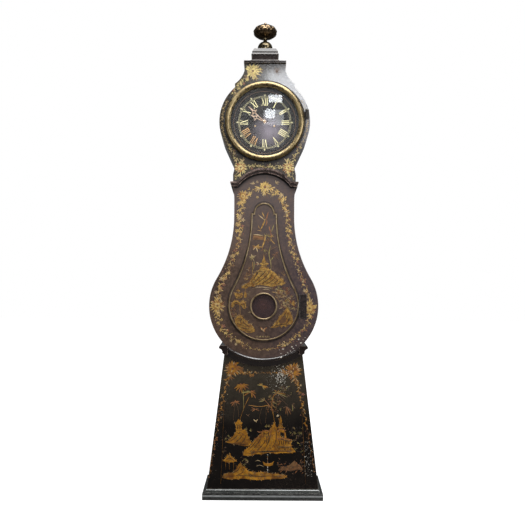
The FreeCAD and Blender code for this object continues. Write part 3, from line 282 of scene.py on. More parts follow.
def lacquer(name, deep, warm, worn, wear, rough_low=0.10, rough_high=0.17, painted_violet_sheen=None, grain=0.14,
            gloss=0.2, edge=0.0028, spots=26.0, painted_sheen=None, painted_light_bands=()):
    """Old japanned lacquer: cloudy brown-black, crackled, rubbed through on its edges.

    One argument paints a sheen: a paler colour, painted light, growing from one height to another, as
    (start, full, colour). Another paints a violet sheen towards the right side. The last paints level
    stripes of painted shade or painted highlight, each a (height, half width, colour).
    """
    s = Shader(name)
    clouds = s.band(s.noise(5.0, 5.0, 0.62), 0.34, 0.68)
    color = s.mix(clouds, deep, warm)
    # Painted light: a violet sheen that grows towards the right side.
    if painted_violet_sheen:
        across = s.node("ShaderNodeSeparateXYZ", Vector=s.place).outputs["X"]
        color = s.mix(s.band(s.sum("ADD", across, s.sum("MULTIPLY", clouds, 0.08)), 0.0, 0.26), color,
                      painted_violet_sheen)
    height = s.node("ShaderNodeSeparateXYZ", Vector=s.place).outputs["Z"]
    # Painted light: a paler sheen that grows from one height to another.
    if painted_sheen:
        bloom = s.band(s.sum("ADD", height, s.sum("MULTIPLY", clouds, 0.06)), painted_sheen[0], painted_sheen[1], 0.0, 0.8)
        color = s.mix(bloom, color, painted_sheen[2])
    # Level stripes of painted shade or painted highlight.
    for level, half, tint in painted_light_bands:
        above = s.band(height, level - half, level - 0.7 * half)
        below = s.band(height, level + half, level + 0.7 * half)
        color = s.mix(s.sum("MULTIPLY", above, below), color, tint)
    mottle = s.band(s.noise(75.0, 4.0, 0.7), 0.38, 0.66)
    color = s.mix(s.sum("MULTIPLY", mottle, 0.45), color, tuple(1.9 * c for c in warm))
    crackle = s.band(s.cells(95.0), 0.0, 0.035, 1.0, 0.0)
    patch = s.band(s.noise(7.0, 2.0), 0.5, 0.66)
    cracks = s.sum("MULTIPLY", crackle, s.sum("MULTIPLY", patch, 0.5))
    color = s.mix(cracks, color, tuple(0.35 * c for c in worn))
    specks = s.band(s.noise(210.0, 2.0, 0.6), 0.70, 0.76)
    color = s.mix(s.sum("MULTIPLY", specks, 0.5), color, worn)
    broken = s.band(s.noise(38.0, 4.0, 0.7), 0.40, 0.58)
    rubbed = s.sum("MULTIPLY", s.sum("MULTIPLY", s.edges(edge), broken), wear)
    color = s.mix(rubbed, color, worn)
    rough = s.band(s.noise(spots, 4.0), 0.3, 0.7, rough_low, rough_high)
    grit = s.sum("ADD", s.noise(60.0, 4.0, 0.6), s.sum("MULTIPLY", s.noise(420.0, 2.0, 0.6), 0.4))
    grit = s.sum("ADD", grit, s.sum("MULTIPLY", s.noise(190.0, 2.0, 0.6), 0.5))
    s.bump(s.sum("ADD", grit, s.sum("MULTIPLY", cracks, -0.6)), grain, 0.0006)
    s.surface.inputs["Coat IOR"].default_value = 1.9
    return s.finish(color, rough, coat=gloss, coat_rough=rough_low)


def gold(name, light, dark, scale, rough=0.36, metallic=0.75, grime=0.5, bare=0.36):
    """Old gilding: a warm leaf over a dark ground, dulled in patches."""
    s = Shader(name)
    rubbed = s.band(s.noise(scale, 5.0, 0.65), bare, bare + 0.26)
    tired = s.band(s.noise(7.0, 2.0), 0.40, 0.66, 1.0, 0.45)
    color = s.mix(s.sum("MULTIPLY", rubbed, tired), dark, light)
    spots = s.band(s.noise(scale * 6, 3.0, 0.6), 0.60, 0.72)
    color = s.mix(s.sum("MULTIPLY", spots, grime), color, tuple(0.25 * c for c in dark))
    shine = s.band(s.noise(scale * 2, 3.0), 0.3, 0.7, rough - 0.08, rough + 0.12)
    s.bump(s.noise(scale * 4, 4.0, 0.6), 0.25, 0.0005)
    return s.finish(color, shine, metallic)


def metal(name, light, dark, rough, scale=40.0):
    s = Shader(name)
    color = s.mix(s.band(s.noise(scale, 4.0, 0.6), 0.35, 0.65), dark, light)
    s.bump(s.noise(scale * 6, 3.0, 0.6), 0.12, 0.0003)
    return s.finish(color, s.band(s.noise(scale * 2, 3.0), 0.3, 0.7, rough - 0.06, rough + 0.08), 1.0)


def planed_wood(name, light, dark):
    s = Shader(name)
    grain = s.noise(3.0, 6.0, 0.62, (22, 22, 1.1))
    fine = s.noise(9.0, 3.0, 0.5, (60, 60, 1.4))
    knots = s.band(s.cells(2.6, False), 0.0, 0.10, 1.0, 0.0)
    color = s.mix(s.band(grain, 0.32, 0.68), dark, light)
    color = s.mix(s.sum("MULTIPLY", s.band(fine, 0.5, 0.7), 0.35), color, tuple(0.6 * c for c in dark))
    color = s.mix(s.sum("MULTIPLY", knots, 0.6), color, tuple(0.5 * c for c in dark))
    s.bump(s.sum("ADD", grain, fine), 0.2, 0.0006)
    return s.finish(color, 0.68)


def clear(name, tint, rough, through, dirt=0.03):
    """Old glass: a little dust keeps part of it from being clear."""
    s = Shader(name)
    dust = s.noise(14.0, 4.0, 0.6)
    s.join(s.band(dust, 0.35, 0.75, through, through - dirt), s.surface.inputs["Transmission Weight"])
    s.surface.inputs["IOR"].default_value = 1.45
    s.pass_light()
    dusty = s.mix(dust, tint, tuple(0.9 * c for c in tint))
    return s.finish(dusty, s.band(dust, 0.4, 0.75, rough, rough + 0.05))


# Painted light on the trunk: paler towards its top, with a violet painted sheen towards its right side.
black_lacquer = lacquer("black_lacquer", (0.030, 0.019, 0.015), (0.098, 0.063, 0.046),
                        (0.34, 0.24, 0.16), wear=0.75, rough_low=0.09, rough_high=0.15,
                        painted_violet_sheen=(0.054, 0.042, 0.052), grain=0.24, gloss=0.35,
                        painted_sheen=(1.08, 1.50, (0.14, 0.118, 0.117)))
# Painted light on the hood: paler towards its lower part, with a violet painted sheen towards its right
# side.
hood_lacquer = lacquer("hood_lacquer", (0.013, 0.011, 0.008), (0.046, 0.038, 0.027),
                       (0.34, 0.26, 0.16), wear=0.75, rough_low=0.07, rough_high=0.34,
                       painted_violet_sheen=(0.046, 0.036, 0.046), grain=0.24, gloss=0.35, spots=130.0,
                       painted_sheen=(1.66, 1.47, (0.080, 0.070, 0.062)))
edge_lacquer = lacquer("edge_lacquer", (0.006, 0.005, 0.005), (0.024, 0.016, 0.014),
                       (0.44, 0.34, 0.28), wear=0.9, rough_low=0.05, rough_high=0.10, grain=0.04,
                       gloss=0.45)
cap_lacquer = lacquer("cap_lacquer", (0.006, 0.005, 0.005), (0.024, 0.018, 0.015), (0.44, 0.36, 0.30),
                      wear=0.9, rough_low=0.07, rough_high=0.12, grain=0.06, gloss=0.12)
# Painted light on the base: paler towards its top.
base_black = lacquer("base_black", (0.0015, 0.0012, 0.0010), (0.006, 0.004, 0.0035),
                     (0.26, 0.19, 0.13), wear=0.8, gloss=0.06, painted_sheen=(0.36, 0.59, (0.075, 0.062, 0.043)))
# Its wide pale rubbed edges are partly wear and partly a painted highlight along the moulding's edges.
upper_lacquer = lacquer("upper_lacquer", (0.018, 0.011, 0.009), (0.070, 0.042, 0.034),
                        (0.62, 0.46, 0.40), wear=1.0, rough_low=0.06, rough_high=0.12, grain=0.05,
                        gloss=0.8, edge=0.0055)
# Painted light on the step: a dark stripe of painted shade under the bead, and a pale stripe of painted
# highlight along the step's rounded edge.
step_grey = lacquer("step_grey", (0.018, 0.019, 0.018), (0.045, 0.047, 0.045), (0.74, 0.72, 0.66),
                    wear=0.4, rough_low=0.10, rough_high=0.22, grain=0.12, gloss=0.2,
                    painted_light_bands=((0.0270, 0.0026, (0.006, 0.005, 0.005)),
                           (0.0195, 0.0046, (0.36, 0.37, 0.37))))
# Its pale rubbed edges are partly wear and partly painted glints on the hinge.
painted_iron = lacquer("painted_iron", (0.006, 0.005, 0.005), (0.040, 0.028, 0.026),
                       (0.40, 0.36, 0.32), wear=0.7, rough_low=0.2, rough_high=0.3, edge=0.003)
# Its pale rubbed edges are partly wear and partly painted highlight lines on the bead.
plinth_grey = lacquer("plinth_grey", (0.022, 0.024, 0.023), (0.070, 0.076, 0.071), (0.70, 0.68, 0.62),
                      wear=1.0, rough_low=0.10, rough_high=0.22, grain=0.12, gloss=0.75)
rim_gilt = gold("rim_gilt", (0.36, 0.28, 0.145), (0.22, 0.16, 0.08), scale=30.0, rough=0.28,
                metallic=0.9, grime=0.25)
pale_gilt = gold("pale_gilt", (0.56, 0.43, 0.25), (0.24, 0.165, 0.085), scale=30.0, rough=0.34,
                 metallic=0.6)
bronze_gilt = gold("bronze_gilt", (0.25, 0.20, 0.115), (0.045, 0.036, 0.024), scale=34.0, rough=0.22,
                   metallic=0.95)
hand_gilt = gold("hand_gilt", (0.62, 0.46, 0.32), (0.34, 0.23, 0.15), scale=60.0, rough=0.36,
                 metallic=0.5, grime=0.3)
numeral_gilt = gold("numeral_gilt", (0.92, 0.86, 0.48), (0.66, 0.58, 0.28), scale=60.0, rough=0.42,
                    metallic=0.1, grime=0.3)
clock_brass = metal("clock_brass", (0.78, 0.56, 0.25), (0.52, 0.36, 0.15), rough=0.30)
plain_steel = metal("plain_steel", (0.50, 0.50, 0.50), (0.30, 0.30, 0.31), rough=0.34)
black_iron = metal("black_iron", (0.055, 0.050, 0.046), (0.022, 0.019, 0.017), rough=0.52)
pine = planed_wood("pine", (0.40, 0.26, 0.14), (0.22, 0.13, 0.065))
gut = gold("gut_line", (0.50, 0.38, 0.20), (0.32, 0.22, 0.10), scale=90.0, rough=0.6, metallic=0.0,
           grime=0.2)
dome_glass = clear("dome_glass", (0.97, 0.98, 0.99), rough=0.028, through=1.0, dirt=0.006)
flat_glass = clear("flat_glass", (0.21, 0.145, 0.145), rough=0.14, through=0.86)


dial_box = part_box("dial")
DIAL_Z = (dial_box[0].z + dial_box[1].z) / 2
DIAL_Y = dial_box[0].y


def dial_paint():
    s = Shader("dial_paint")
    color = s.mix(s.band(s.noise(30.0, 5.0, 0.6), 0.35, 0.7), (0.002, 0.002, 0.002),
                  (0.012, 0.010, 0.009))
    # A painted reflection: a pale lavender glare below and right of the dial's centre.
    away = s.node("ShaderNodeVectorMath", {"operation": "DISTANCE"})
    s.join(s.place, away.inputs[0])
    away.inputs[1].default_value = (0.022, DIAL_Y, DIAL_Z - 0.040)
    uneven = s.sum("MULTIPLY", s.noise(22.0, 4.0, 0.6), 0.05)
    painted_sheen = s.band(s.sum("ADD", away.outputs["Value"], uneven), 0.025, 0.115, 0.8, 0.0)
    color = s.mix(painted_sheen, color, (0.19, 0.165, 0.19))
    specks = s.band(s.noise(260.0, 2.0), 0.71, 0.76)
    color = s.mix(s.sum("MULTIPLY", specks, 0.4), color, (0.25, 0.22, 0.17))
    s.bump(s.noise(90.0, 3.0), 0.15, 0.0004)
    s.surface.inputs["Specular IOR Level"].default_value = 0.12
    return s.finish(color, s.band(s.noise(20.0, 3.0), 0.3, 0.7, 0.36, 0.5))


dial_black = dial_paint()

for material, names in (
        (black_lacquer, "trunk_front trunk_side_left trunk_side_right trunk_door"),
        (hood_lacquer, "hood_front hood_side_left hood_side_right"),
        (edge_lacquer, "waist_moulding_lower hood_pedestal"),
        (cap_lacquer, "hood_cornice hood_cap"),
        (upper_lacquer, "waist_moulding_upper"),
        (painted_iron, "trunk_hinge_plate trunk_hinge_leaf"),
        (base_black, "base_front base_sides"),
        (plinth_grey, "plinth_bead"),
        (step_grey, "plinth_step"),
        (pine, "backboard cheeks seatboard"),
        (pale_gilt, "door_bead window_ring"),
        (rim_gilt, "bezel_ring"),
        (bronze_gilt, "finial_foot finial_ball"),
        (hand_gilt, "minute_hand hour_hand"),
        (clock_brass, "front_plate back_plate pillars centre_wheel cannon_pinion minute_wheel hour_wheel "
                      "third_wheel escape_wheel going_great_wheel strike_great_wheel going_barrel "
                      "strike_barrel pendulum_cock pendulum_bob rating_nut fly bell"),
        (plain_steel, "anchor pendulum_rod hammer bell_stand"),
        (black_iron, "bezel_hinge_plate bezel_hinge_leaf bezel_catch "
                     "going_weight strike_weight"),
        (dome_glass, "dial_glass"),
        (flat_glass, "window_glass"),
        (dial_black, "dial")):
    for name in names.split():
        mesh = nodes[name].data
        mesh.materials.clear()
        mesh.materials.append(material)


# Decoration: raised gilt work as thin relief on the flat fronts

ON_HILL = 0.0007


def even(t):
    """The taper of a stroke that keeps its width."""
    return 1.0


def swell(t):
    """The taper of a brush stroke that is thin at both ends."""
    return 0.25 + 0.9 * math.sin(math.pi * t)


def heading(angle):
    """The unit vector at an angle in degrees."""
    return Vector((math.cos(math.radians(angle)), math.sin(math.radians(angle))))


def smooth(points, steps=6):
    """A soft curve through points, as a list of (x, z)."""
    if len(points) < 3:
        return [Vector(p) for p in points]
    pts = [Vector(p) for p in points]
    pts = [2 * pts[0] - pts[1]] + pts + [2 * pts[-1] - pts[-2]]
    out = []
    for a, b, c, d in zip(pts, pts[1:], pts[2:], pts[3:]):
        for i in range(steps):
            t = i / steps
            out.append(0.5 * ((2 * b) + (c - a) * t + (2 * a - 5 * b + 4 * c - d) * t * t
                              + (3 * b - a - 3 * c + d) * t ** 3))
    out.append(pts[-2])
    return out


def surface(node):
    """A CAD node's surface, for finding what lies behind a point."""
    mesh = nodes[node].data
    return BVHTree.FromPolygons([v.co for v in mesh.vertices], [f.vertices for f in mesh.polygons])


class Relief:
    """Raised work on one node's flat front: patches, strokes, leaves and dots gathered in one mesh."""

    sunk = 0.0001

    def __init__(self, name, body, node, material, slot, lift=0.0007):
        self.name, self.body, self.carrier = name, body, surface(node)
        self.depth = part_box(node)[0].y
        self.material, self.slot, self.lift = material, slot, lift
        self.verts, self.faces = [], []

    def at(self, px, py):
        return Vector(spot(px, py, self.depth))

    def add(self, x, z, high):
        self.verts.append((x, self.depth + self.sunk - high, z))
        return len(self.verts) - 1

    def stroke(self, path, wide, lift=None, taper=None, base=0.0):
        """A ridge along a path, its edges at height base. taper gives the share of the width at a place."""
        lift = base + self.lift if lift is None else lift
        taper = taper or (lambda t: 1 - 0.6 * t)
        last = None
        for i, p in enumerate(path):
            ahead = path[min(i + 1, len(path) - 1)] - path[max(i - 1, 0)]
            side = Vector((-ahead.y, ahead.x)).normalized() if ahead.length else Vector((0, 1))
            t = i / max(len(path) - 1, 1)
            half = wide * taper(t) / 2
            row = [self.add(p.x + side.x * half * k, p.y + side.y * half * k, lift if k == 0 else base)
                   for k in (-1, 0, 1)]
            if last:
                for a in (0, 1):
                    self.faces.append((last[a], row[a], row[a + 1], last[a + 1]))
            last = row

    def leaf(self, foot, angle, long, wide, bend=0.0, base=0.0):
        """A pointed leaf from its foot, turned by bend on the way to its tip. Angles in degrees."""
        steps = 5
        p, path = Vector(foot), []
        for i in range(steps + 1):
            path.append(p.copy())
            p = p + heading(angle + bend * i / steps) * (long / steps)
        self.stroke(path, wide, base=base,
                    taper=lambda t: max(0.04, math.sin(math.pi * min(1, t * 0.92 + 0.06)) ** 0.8))

    def dot(self, centre, radius, lift=None, base=0.0):
        lift = self.lift if lift is None else lift
        middle = self.add(centre[0], centre[1], lift)
        ring = [self.add(centre[0] + radius * math.cos(a), centre[1] + radius * math.sin(a), base)
                for a in (i * math.tau / 7 for i in range(7))]
        for i in range(7):
            self.faces.append((middle, ring[i], ring[(i + 1) % 7]))

    def patch(self, outline, lift=None, inset=0.0006):
        """A filled shape with a bevelled edge."""
        lift = self.lift if lift is None else lift
        pts = [Vector(p) for p in outline]
        area = sum(a.x * b.y - b.x * a.y for a, b in zip(pts, pts[1:] + pts[:1]))
        if area < 0:
            pts.reverse()
        low, high = [], []
        for i, p in enumerate(pts):
            along = pts[(i + 1) % len(pts)] - pts[i - 1]
            inward = Vector((-along.y, along.x)).normalized() * inset if along.length else Vector((0, 0))
            low.append(self.add(p.x, p.y, 0))
            high.append(self.add(p.x + inward.x, p.y + inward.y, lift))
        for i in range(len(pts)):
            j = (i + 1) % len(pts)
            self.faces.append((low[i], low[j], high[j], high[i]))
        flat = [Vector((self.verts[i][0], self.verts[i][2], 0)) for i in high]
        for tri in tessellate_polygon([flat]):
            self.faces.append(tuple(high[i] for i in tri))

    def carried(self, place):
        """Whether the board's flat front lies right behind a point."""
        ahead = 0.02
        start = Vector((place[0], self.depth - ahead, place[2]))
        return self.carrier.ray_cast(start, Vector((0, 1, 0)), ahead + 0.0005)[0] is not None

    def make(self):
        """The mesh, without what would stand past the board's edge or over its opening."""
        mesh = bpy.data.meshes.new(self.name)
        held = [self.carried(v) for v in self.verts]
        mesh.from_pydata(self.verts, [], [f for f in self.faces if all(held[i] for i in f)])
        mesh.validate()
        work = bmesh.new()
        work.from_mesh(mesh)
        bmesh.ops.delete(work, geom=[v for v in work.verts if not v.link_faces], context="VERTS")
        for face in work.faces:
            face.normal_update()
            if face.normal.y > 0:
                face.normal_flip()
        work.to_mesh(mesh)
        work.free()
        mesh.materials.append(self.material)
        made = linked(self.name, mesh)
        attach(made, self.body)


class Painter:
    """The coloured reliefs of one front, drawn together with one seeded hand."""

    def __init__(self, name, body, node, gilt, dark_gilt, seed):
        self.rng = random.Random(seed)
        self.gold = Relief(name + "_gilt", body, node, gilt, "gilt")
        self.shade = Relief(name + "_shading", body, node, dark_gilt, "gilt", 0.0004)
        self.cream = Relief(name + "_cream_leaves", body, node, cream_paint, "gilt", 0.0008)
        self.rose = Relief(name + "_rose_blooms", body, node, rose_paint, "gilt", 0.0010)
        self.dusk = Relief(name + "_worn_gilt", body, node, dusk_gilt, "gilt", 0.0006)
        self.rust = Relief(name + "_rust_leaves", body, node, rust_gilt, "gilt", 0.0007)
        self.olive = Relief(name + "_olive_leaves", body, node, olive_paint, "gilt", 0.0008)
        self.ink = Relief(name + "_ink_lines", body, node, ink_and_painted_shadow, "gilt", 0.0005)

    def at(self, px, py):
        return self.gold.at(px, py)

    def track(self, pixels):
        """The places of a path of pixels."""
        return [self.at(*pixel) for pixel in pixels]

    def pick(self, *choices):
        return self.rng.choice(choices)

    def near(self, value, share=0.25):
        return value * self.rng.uniform(1 - share, 1 + share)

    def bloom(self, centre, radius, petals=11):
        """A full flower: two rings of petals round a rosy heart."""
        for ring, share, wide in ((0, 0.95, 0.40), (1, 0.62, 0.30)):
            for i in range(petals):
                angle = 360 * (i + 0.5 * ring) / petals + self.rng.uniform(-7, 7)
                way = heading(angle)
                sheet = self.gold if ring == 0 or self.rng.random() < 0.8 else self.cream
                long = self.near(radius * share * 0.8, 0.18)
                sheet.leaf(Vector(centre) + way * radius * 0.2, angle, long, radius * wide * 0.8,
                           self.rng.uniform(-18, 18), 0.0006 * ring)
                if ring:
                    vein = [Vector(centre) + way * radius * share for share in (0.26, 0.62, 0.95)]
                    self.shade.stroke(vein, radius * 0.10, taper=lambda t: 1 - 0.8 * t, base=0.0006)
        self.shade.dot(centre, radius * 0.24, 0.0018, 0.0008)
        self.rose.dot(centre, radius * 0.14, 0.0024, 0.0012)

    def small_flower(self, centre, radius, sheet=None):
        sheet = sheet or self.pick(self.gold, self.gold, self.gold, self.dusk, self.cream, self.rose)
        turn = self.rng.uniform(0, 72)
        for i in range(5):
            sheet.leaf(centre, turn + 72 * i, self.near(radius, 0.15), radius * 0.42)
        heart = self.rose if sheet is not self.rose else self.gold
        heart.dot(centre, radius * 0.2, 0.0012)

    def leaves(self, centre, angle, count, long, spread=100.0, sheet=None):
        """A fan of pointed leaves from one place."""
        for i in range(count):
            share = i / max(count - 1, 1) - 0.5
            kind = sheet or self.pick(self.gold, self.gold, self.gold, self.dusk, self.cream)
            kind.leaf(centre, angle + share * spread + self.rng.uniform(-6, 6),
                      self.near(long, 0.25), self.near(long * 0.17, 0.2), self.rng.uniform(-26, 26))

    def garland(self, path, size, step, sway=0.25, blooms=0.22, fade=0.0, dim=0.1, red=0.0,
                main=None):
        """A winding stem with leaves, buds and small flowers along a path, shares of them dim and red."""
        main = main or self.gold
        line = smooth(path, 10)
        place, travelled, side, walk = [], 0.0, 1, 0.0
        for a, b in zip(line, line[1:]):
            ahead = b - a
            if not ahead.length:
                continue
            normal = Vector((-ahead.y, ahead.x)).normalized()
            travelled += ahead.length
            place.append(a + normal * math.sin(travelled / step * 2.1) * size * sway)
            walk += ahead.length
            if walk < step * 0.36:
                continue
            walk = 0.0
            if self.rng.random() < fade:
                continue
            side = -side
            angle = math.degrees(math.atan2(ahead.y, ahead.x))
            here = place[-1]
            chance = self.rng.random()
            if chance < blooms:
                petals = None if main is self.gold else main
                self.small_flower(here + normal * side * size * 0.3, self.near(size * 0.34), petals)
            elif chance < blooms + 0.2:
                tip = here + normal * side * self.near(size * 0.55)
                self.pick(self.rose, self.cream, self.gold, self.gold).dot(tip, self.near(size * 0.09))
            else:
                for k in range(self.pick(3, 3, 4, 5)):
                    kind = self.pick(main, main, main, main, self.cream)
                    kind = self.dusk if self.rng.random() < dim else kind
                    kind = self.rust if self.rng.random() < red else kind
                    kind.leaf(here, angle + side * self.rng.uniform(15, 110),
                              self.near(size * 0.42, 0.45), self.near(size * 0.115, 0.3),
                              -side * self.rng.uniform(0, 50))
        if len(place) > 2:
            self.gold.stroke(place, size * 0.075, 0.0004, taper=even)

    def cluster(self, centre, radius, petals=11, fill=None):
        """A bloom in a thick ring of leaves, on a ground of another colour where one is given."""
        if fill:
            corners = 22
            ring = [self.near(radius * 0.66, 0.14) for i in range(corners)]
            fill.patch([Vector(centre) + heading(360 * i / corners) * far for i,
                        far in enumerate(ring)], 0.0003)
        count = 34 if fill else 24
        for i in range(count):
            angle = 360 * i / count + self.rng.uniform(-9, 9)
            start = Vector(centre) + heading(angle) * radius * 0.5
            kind = self.pick(self.gold, self.gold, self.gold, fill or self.dusk, self.cream)
            kind.leaf(start, angle, self.near(radius * 0.5, 0.4), radius * 0.13,
                      self.rng.uniform(-45, 45))
        self.bloom(centre, radius * 0.62, petals)

    def scatter(self, left, top, right, bottom, count, long, sheets, keep=None):
        """Small fans of leaves strewn over a box of pixels, where keep allows them."""
        for i in range(count):
            px, py = self.rng.uniform(left, right), self.rng.uniform(top, bottom)
            if keep is None or keep(px, py):
                self.leaves(self.at(px, py), self.rng.uniform(0, 360), self.pick(2, 3, 4),
                            self.near(long, 0.3), 150, self.pick(*sheets))

    def star(self, px, py, rays, wide, sheets, droop=0.0):
        """Broad leaves from one place, taking the sheets in turn. rays are (angle, length)."""
        for i, (angle, long) in enumerate(rays):
            bend = droop if math.cos(math.radians(angle)) < 0 else -droop
            sheets[i % len(sheets)].leaf(self.at(px, py), angle, self.near(long, 0.08), wide, bend)

    def hill(self, pixels, ridges):
        """A gilt hill or island with a rough edge and darker ridges. ridges are pixel paths."""
        outline = []
        pts = self.track(pixels)
        for a, b in zip(pts, pts[1:] + pts[:1]):
            parts = max(2, int((b - a).length / 0.006))
            for i in range(parts):
                p = a.lerp(b, i / parts)
                outline.append(p + Vector((self.rng.uniform(-1, 1), self.rng.uniform(-1, 1))) * 0.0011)
        self.gold.patch(outline, ON_HILL)
        for ridge in ridges:
            self.shade.stroke(smooth(self.track(ridge), 5), 0.0030, base=ON_HILL,
                              taper=lambda t: 0.3 + 0.9 * math.sin(math.pi * t))
        if ridges:
            self.hatch(outline)
            self.scrub(outline)

    def scrub(self, outline):
        """Tufts of leaves and grasses that stand on the upper edge of a hill."""
        for a, b in zip(outline, outline[1:]):
            out = Vector((b.y - a.y, a.x - b.x))
            if not inside(a.lerp(b, 0.5) - out.normalized() * 0.002, outline):
                out = -out
            if out.y < 0 and self.rng.random() < 0.75 or self.rng.random() < 0.25:
                continue
            up = math.degrees(math.atan2(out.y, out.x))
            for k in range(self.pick(2, 3)):
                kind = self.pick(self.gold, self.gold, self.shade, self.cream)
                kind.leaf(a, up * 0.5 + 45 + self.rng.uniform(-55, 55), self.near(0.0065, 0.4), 0.0017,
                          self.rng.uniform(-30, 30))

    def hatch(self, outline):
        """Short dark and pale brush marks over a hill, sloping away from its top."""
        low, high = (Vector((f(p.x for p in outline), f(p.y for p in outline))) for f in (min, max))
        peak = max(outline, key=lambda p: p.y)
        ground_per_mark = 0.000045
        marks = int((high.x - low.x) * (high.y - low.y) / ground_per_mark)
        for i in range(marks):
            p = Vector((self.rng.uniform(low.x, high.x), self.rng.uniform(low.y, high.y)))
            way = (p - peak).normalized() + Vector((self.rng.uniform(-0.3, 0.3),
                                                    self.rng.uniform(-0.3, 0.3)))
            way = Vector((way.x if abs(way.x) > 0.25 else 0.25, way.y * 0.8)).normalized()
            long = self.rng.uniform(0.005, 0.013)
            ends = [p, p + way * long * 0.5, p + way * long]
            if all(inside(q, outline) for q in ends):
                sheet = (self.shade, self.rust, self.shade, self.olive, self.dusk)[i % 5]
                sheet.stroke(ends, self.rng.uniform(0.0009, 0.0019), ON_HILL + 0.0004, base=ON_HILL)

    def line(self, pixels, wide, sheet=None, taper=None, base=0.0):
        (sheet or self.gold).stroke(smooth(self.track(pixels), 6), wide, None, taper, base)

    def bird(self, px, py, size, sheet=None):
        sheet = sheet or self.cream
        middle = self.at(px, py)
        for angle, long in ((155, 1.0), (28, 0.9), (-70, 0.5), (190, 0.45)):
            sheet.leaf(middle, angle, size * long, size * 0.28, 35 if angle < 90 else -35)

    def make(self):
        for sheet in (self.gold, self.shade, self.cream, self.rose, self.dusk, self.rust, self.olive,
                      self.ink):
            if sheet.faces:
                sheet.make()


def inside(p, outline):
    """Whether a point lies inside a closed outline."""
    crossed = False
    for a, b in zip(outline, outline[1:] + outline[:1]):
        if (a.y > p.y) != (b.y > p.y) and p.x < a.x + (b.x - a.x) * (p.y - a.y) / (b.y - a.y):
            crossed = not crossed
    return crossed


leaf_gilt = gold("leaf_gilt", (0.84, 0.61, 0.20), (0.42, 0.25, 0.065), scale=120.0, rough=0.40,
                 metallic=0.2, grime=0.8)
door_gilt = gold("door_gilt", (0.76, 0.46, 0.10), (0.20, 0.085, 0.016), scale=70.0, rough=0.42,
                 metallic=0.2, grime=0.8, bare=0.40)
base_gilt = gold("base_gilt", (0.70, 0.31, 0.020), (0.17, 0.062, 0.008), scale=34.0, rough=0.42,
                 metallic=0.2, grime=0.7, bare=0.38)
dusk_gilt = gold("dusk_gilt", (0.26, 0.135, 0.055), (0.10, 0.05, 0.025), scale=90.0, rough=0.42,
                 metallic=0.2, grime=0.8)
shade_gilt = gold("shade_gilt", (0.12, 0.065, 0.02), (0.04, 0.02, 0.01), scale=60.0, rough=0.5,
                  metallic=0.0)
shade_deep = gold("shade_deep", (0.035, 0.018, 0.008), (0.012, 0.007, 0.004), scale=60.0, rough=0.5,
                  metallic=0.0)
cream_paint = gold("cream_paint", (0.70, 0.52, 0.27), (0.34, 0.23, 0.10), scale=70.0, rough=0.5,
                   metallic=0.0)
hood_gilt = gold("hood_gilt", (0.82, 0.70, 0.30), (0.46, 0.33, 0.11), scale=120.0, rough=0.40,
                 metallic=0.2, grime=0.8)
rust_gilt = gold("rust_gilt", (0.46, 0.175, 0.050), (0.20, 0.075, 0.022), scale=80.0, rough=0.42,
                 metallic=0.2, grime=0.8)
olive_paint = gold("olive_paint", (0.46, 0.36, 0.10), (0.20, 0.155, 0.045), scale=80.0, rough=0.5,
                   metallic=0.0)
rose_paint = gold("rose_paint", (0.34, 0.13, 0.075), (0.15, 0.055, 0.03), scale=70.0, rough=0.5,
                  metallic=0.0)
warm_gilt = gold("warm_gilt", (0.76, 0.46, 0.17), (0.34, 0.18, 0.06), scale=60.0, rough=0.40,
                 metallic=0.3)
# Black for the ink lines of the decoration and for painted shadow.
ink_and_painted_shadow = lacquer("ink_and_painted_shadow", (0.003, 0.0025, 0.0022), (0.008, 0.006, 0.005),
                       (0.10, 0.07, 0.05), wear=0.0, rough_low=0.3, rough_high=0.4, grain=0.05,
                       gloss=0.0)
flake_white = gold("flake_white", (0.88, 0.84, 0.74), (0.50, 0.46, 0.38), scale=80.0, rough=0.5,
                   metallic=0.0)


def flip(points):
    return [Vector((-p[0], p[1])) for p in points]


def around(radius, start, end, count=9):
    """Points of a circle round the dial's centre, angles from +X towards +Z."""
    return [Vector((radius * math.cos(math.radians(start + (end - start) * i / (count - 1))),
                    DIAL_Z + radius * math.sin(math.radians(start + (end - start) * i / (count - 1)))))
            for i in range(count)]


def paint_hood():
    p = Painter("hood", "hood", "hood_front", hood_gilt, shade_gilt, 11)
    for side in (1, -1):
        turn = (lambda pts: pts) if side == 1 else flip
        top = turn([p.at(253, 71)])[0]
        if side == 1:
            p.cluster(top, 0.034, 15, p.olive)
            p.leaves(top, 250, 9, 0.036, 150)
            p.leaves(top + Vector((0, 0.004)), 70, 9, 0.034, 170)
            p.leaves(top + Vector((0.030, 0.004)), 10, 5, 0.017, 110)
            p.leaves(top + Vector((-0.022, -0.028)), 240, 6, 0.022, 120)
            p.leaves(top + Vector((0.012, -0.030)), 270, 4, 0.016, 120)
            p.garland(p.track(((247, 76.5), (242.5, 81.5), (238.5, 85.6), (235, 89.5), (231.8, 94.5))),
                      0.022, 0.010, blooms=0.3)
        else:
            for i in range(16):
                p.dusk.leaf(top, 360 * i / 16, p.near(0.024, 0.3), 0.0016, p.rng.uniform(-20, 20))
        p.garland(turn(around(0.1965, 150, 216, 12)), 0.012, 0.009, sway=0.12, main=p.cream)
        p.garland(turn(p.track(((228.5, 144), (232, 151), (235, 157), (237.5, 163)))), 0.020, 0.012)
        low = turn([p.at(240.6, 167.5)])[0]
        p.cluster(low, 0.030, 11, p.rust)
        p.leaves(low + Vector((side * 0.008, 0.026)), 80, 5, 0.020, 90)
        p.leaves(low + Vector((-side * 0.004, -0.028)), 265, 4, 0.020, 70)
        p.garland(turn(p.track(((246.5, 167.5), (252, 166), (258, 166.2), (265, 166.6)))), 0.020, 0.012,
                  blooms=0.25)
        p.garland(turn(p.track(((237, 172), (236, 176), (235.6, 180)))), 0.012, 0.009, fade=0.4)
    p.make()


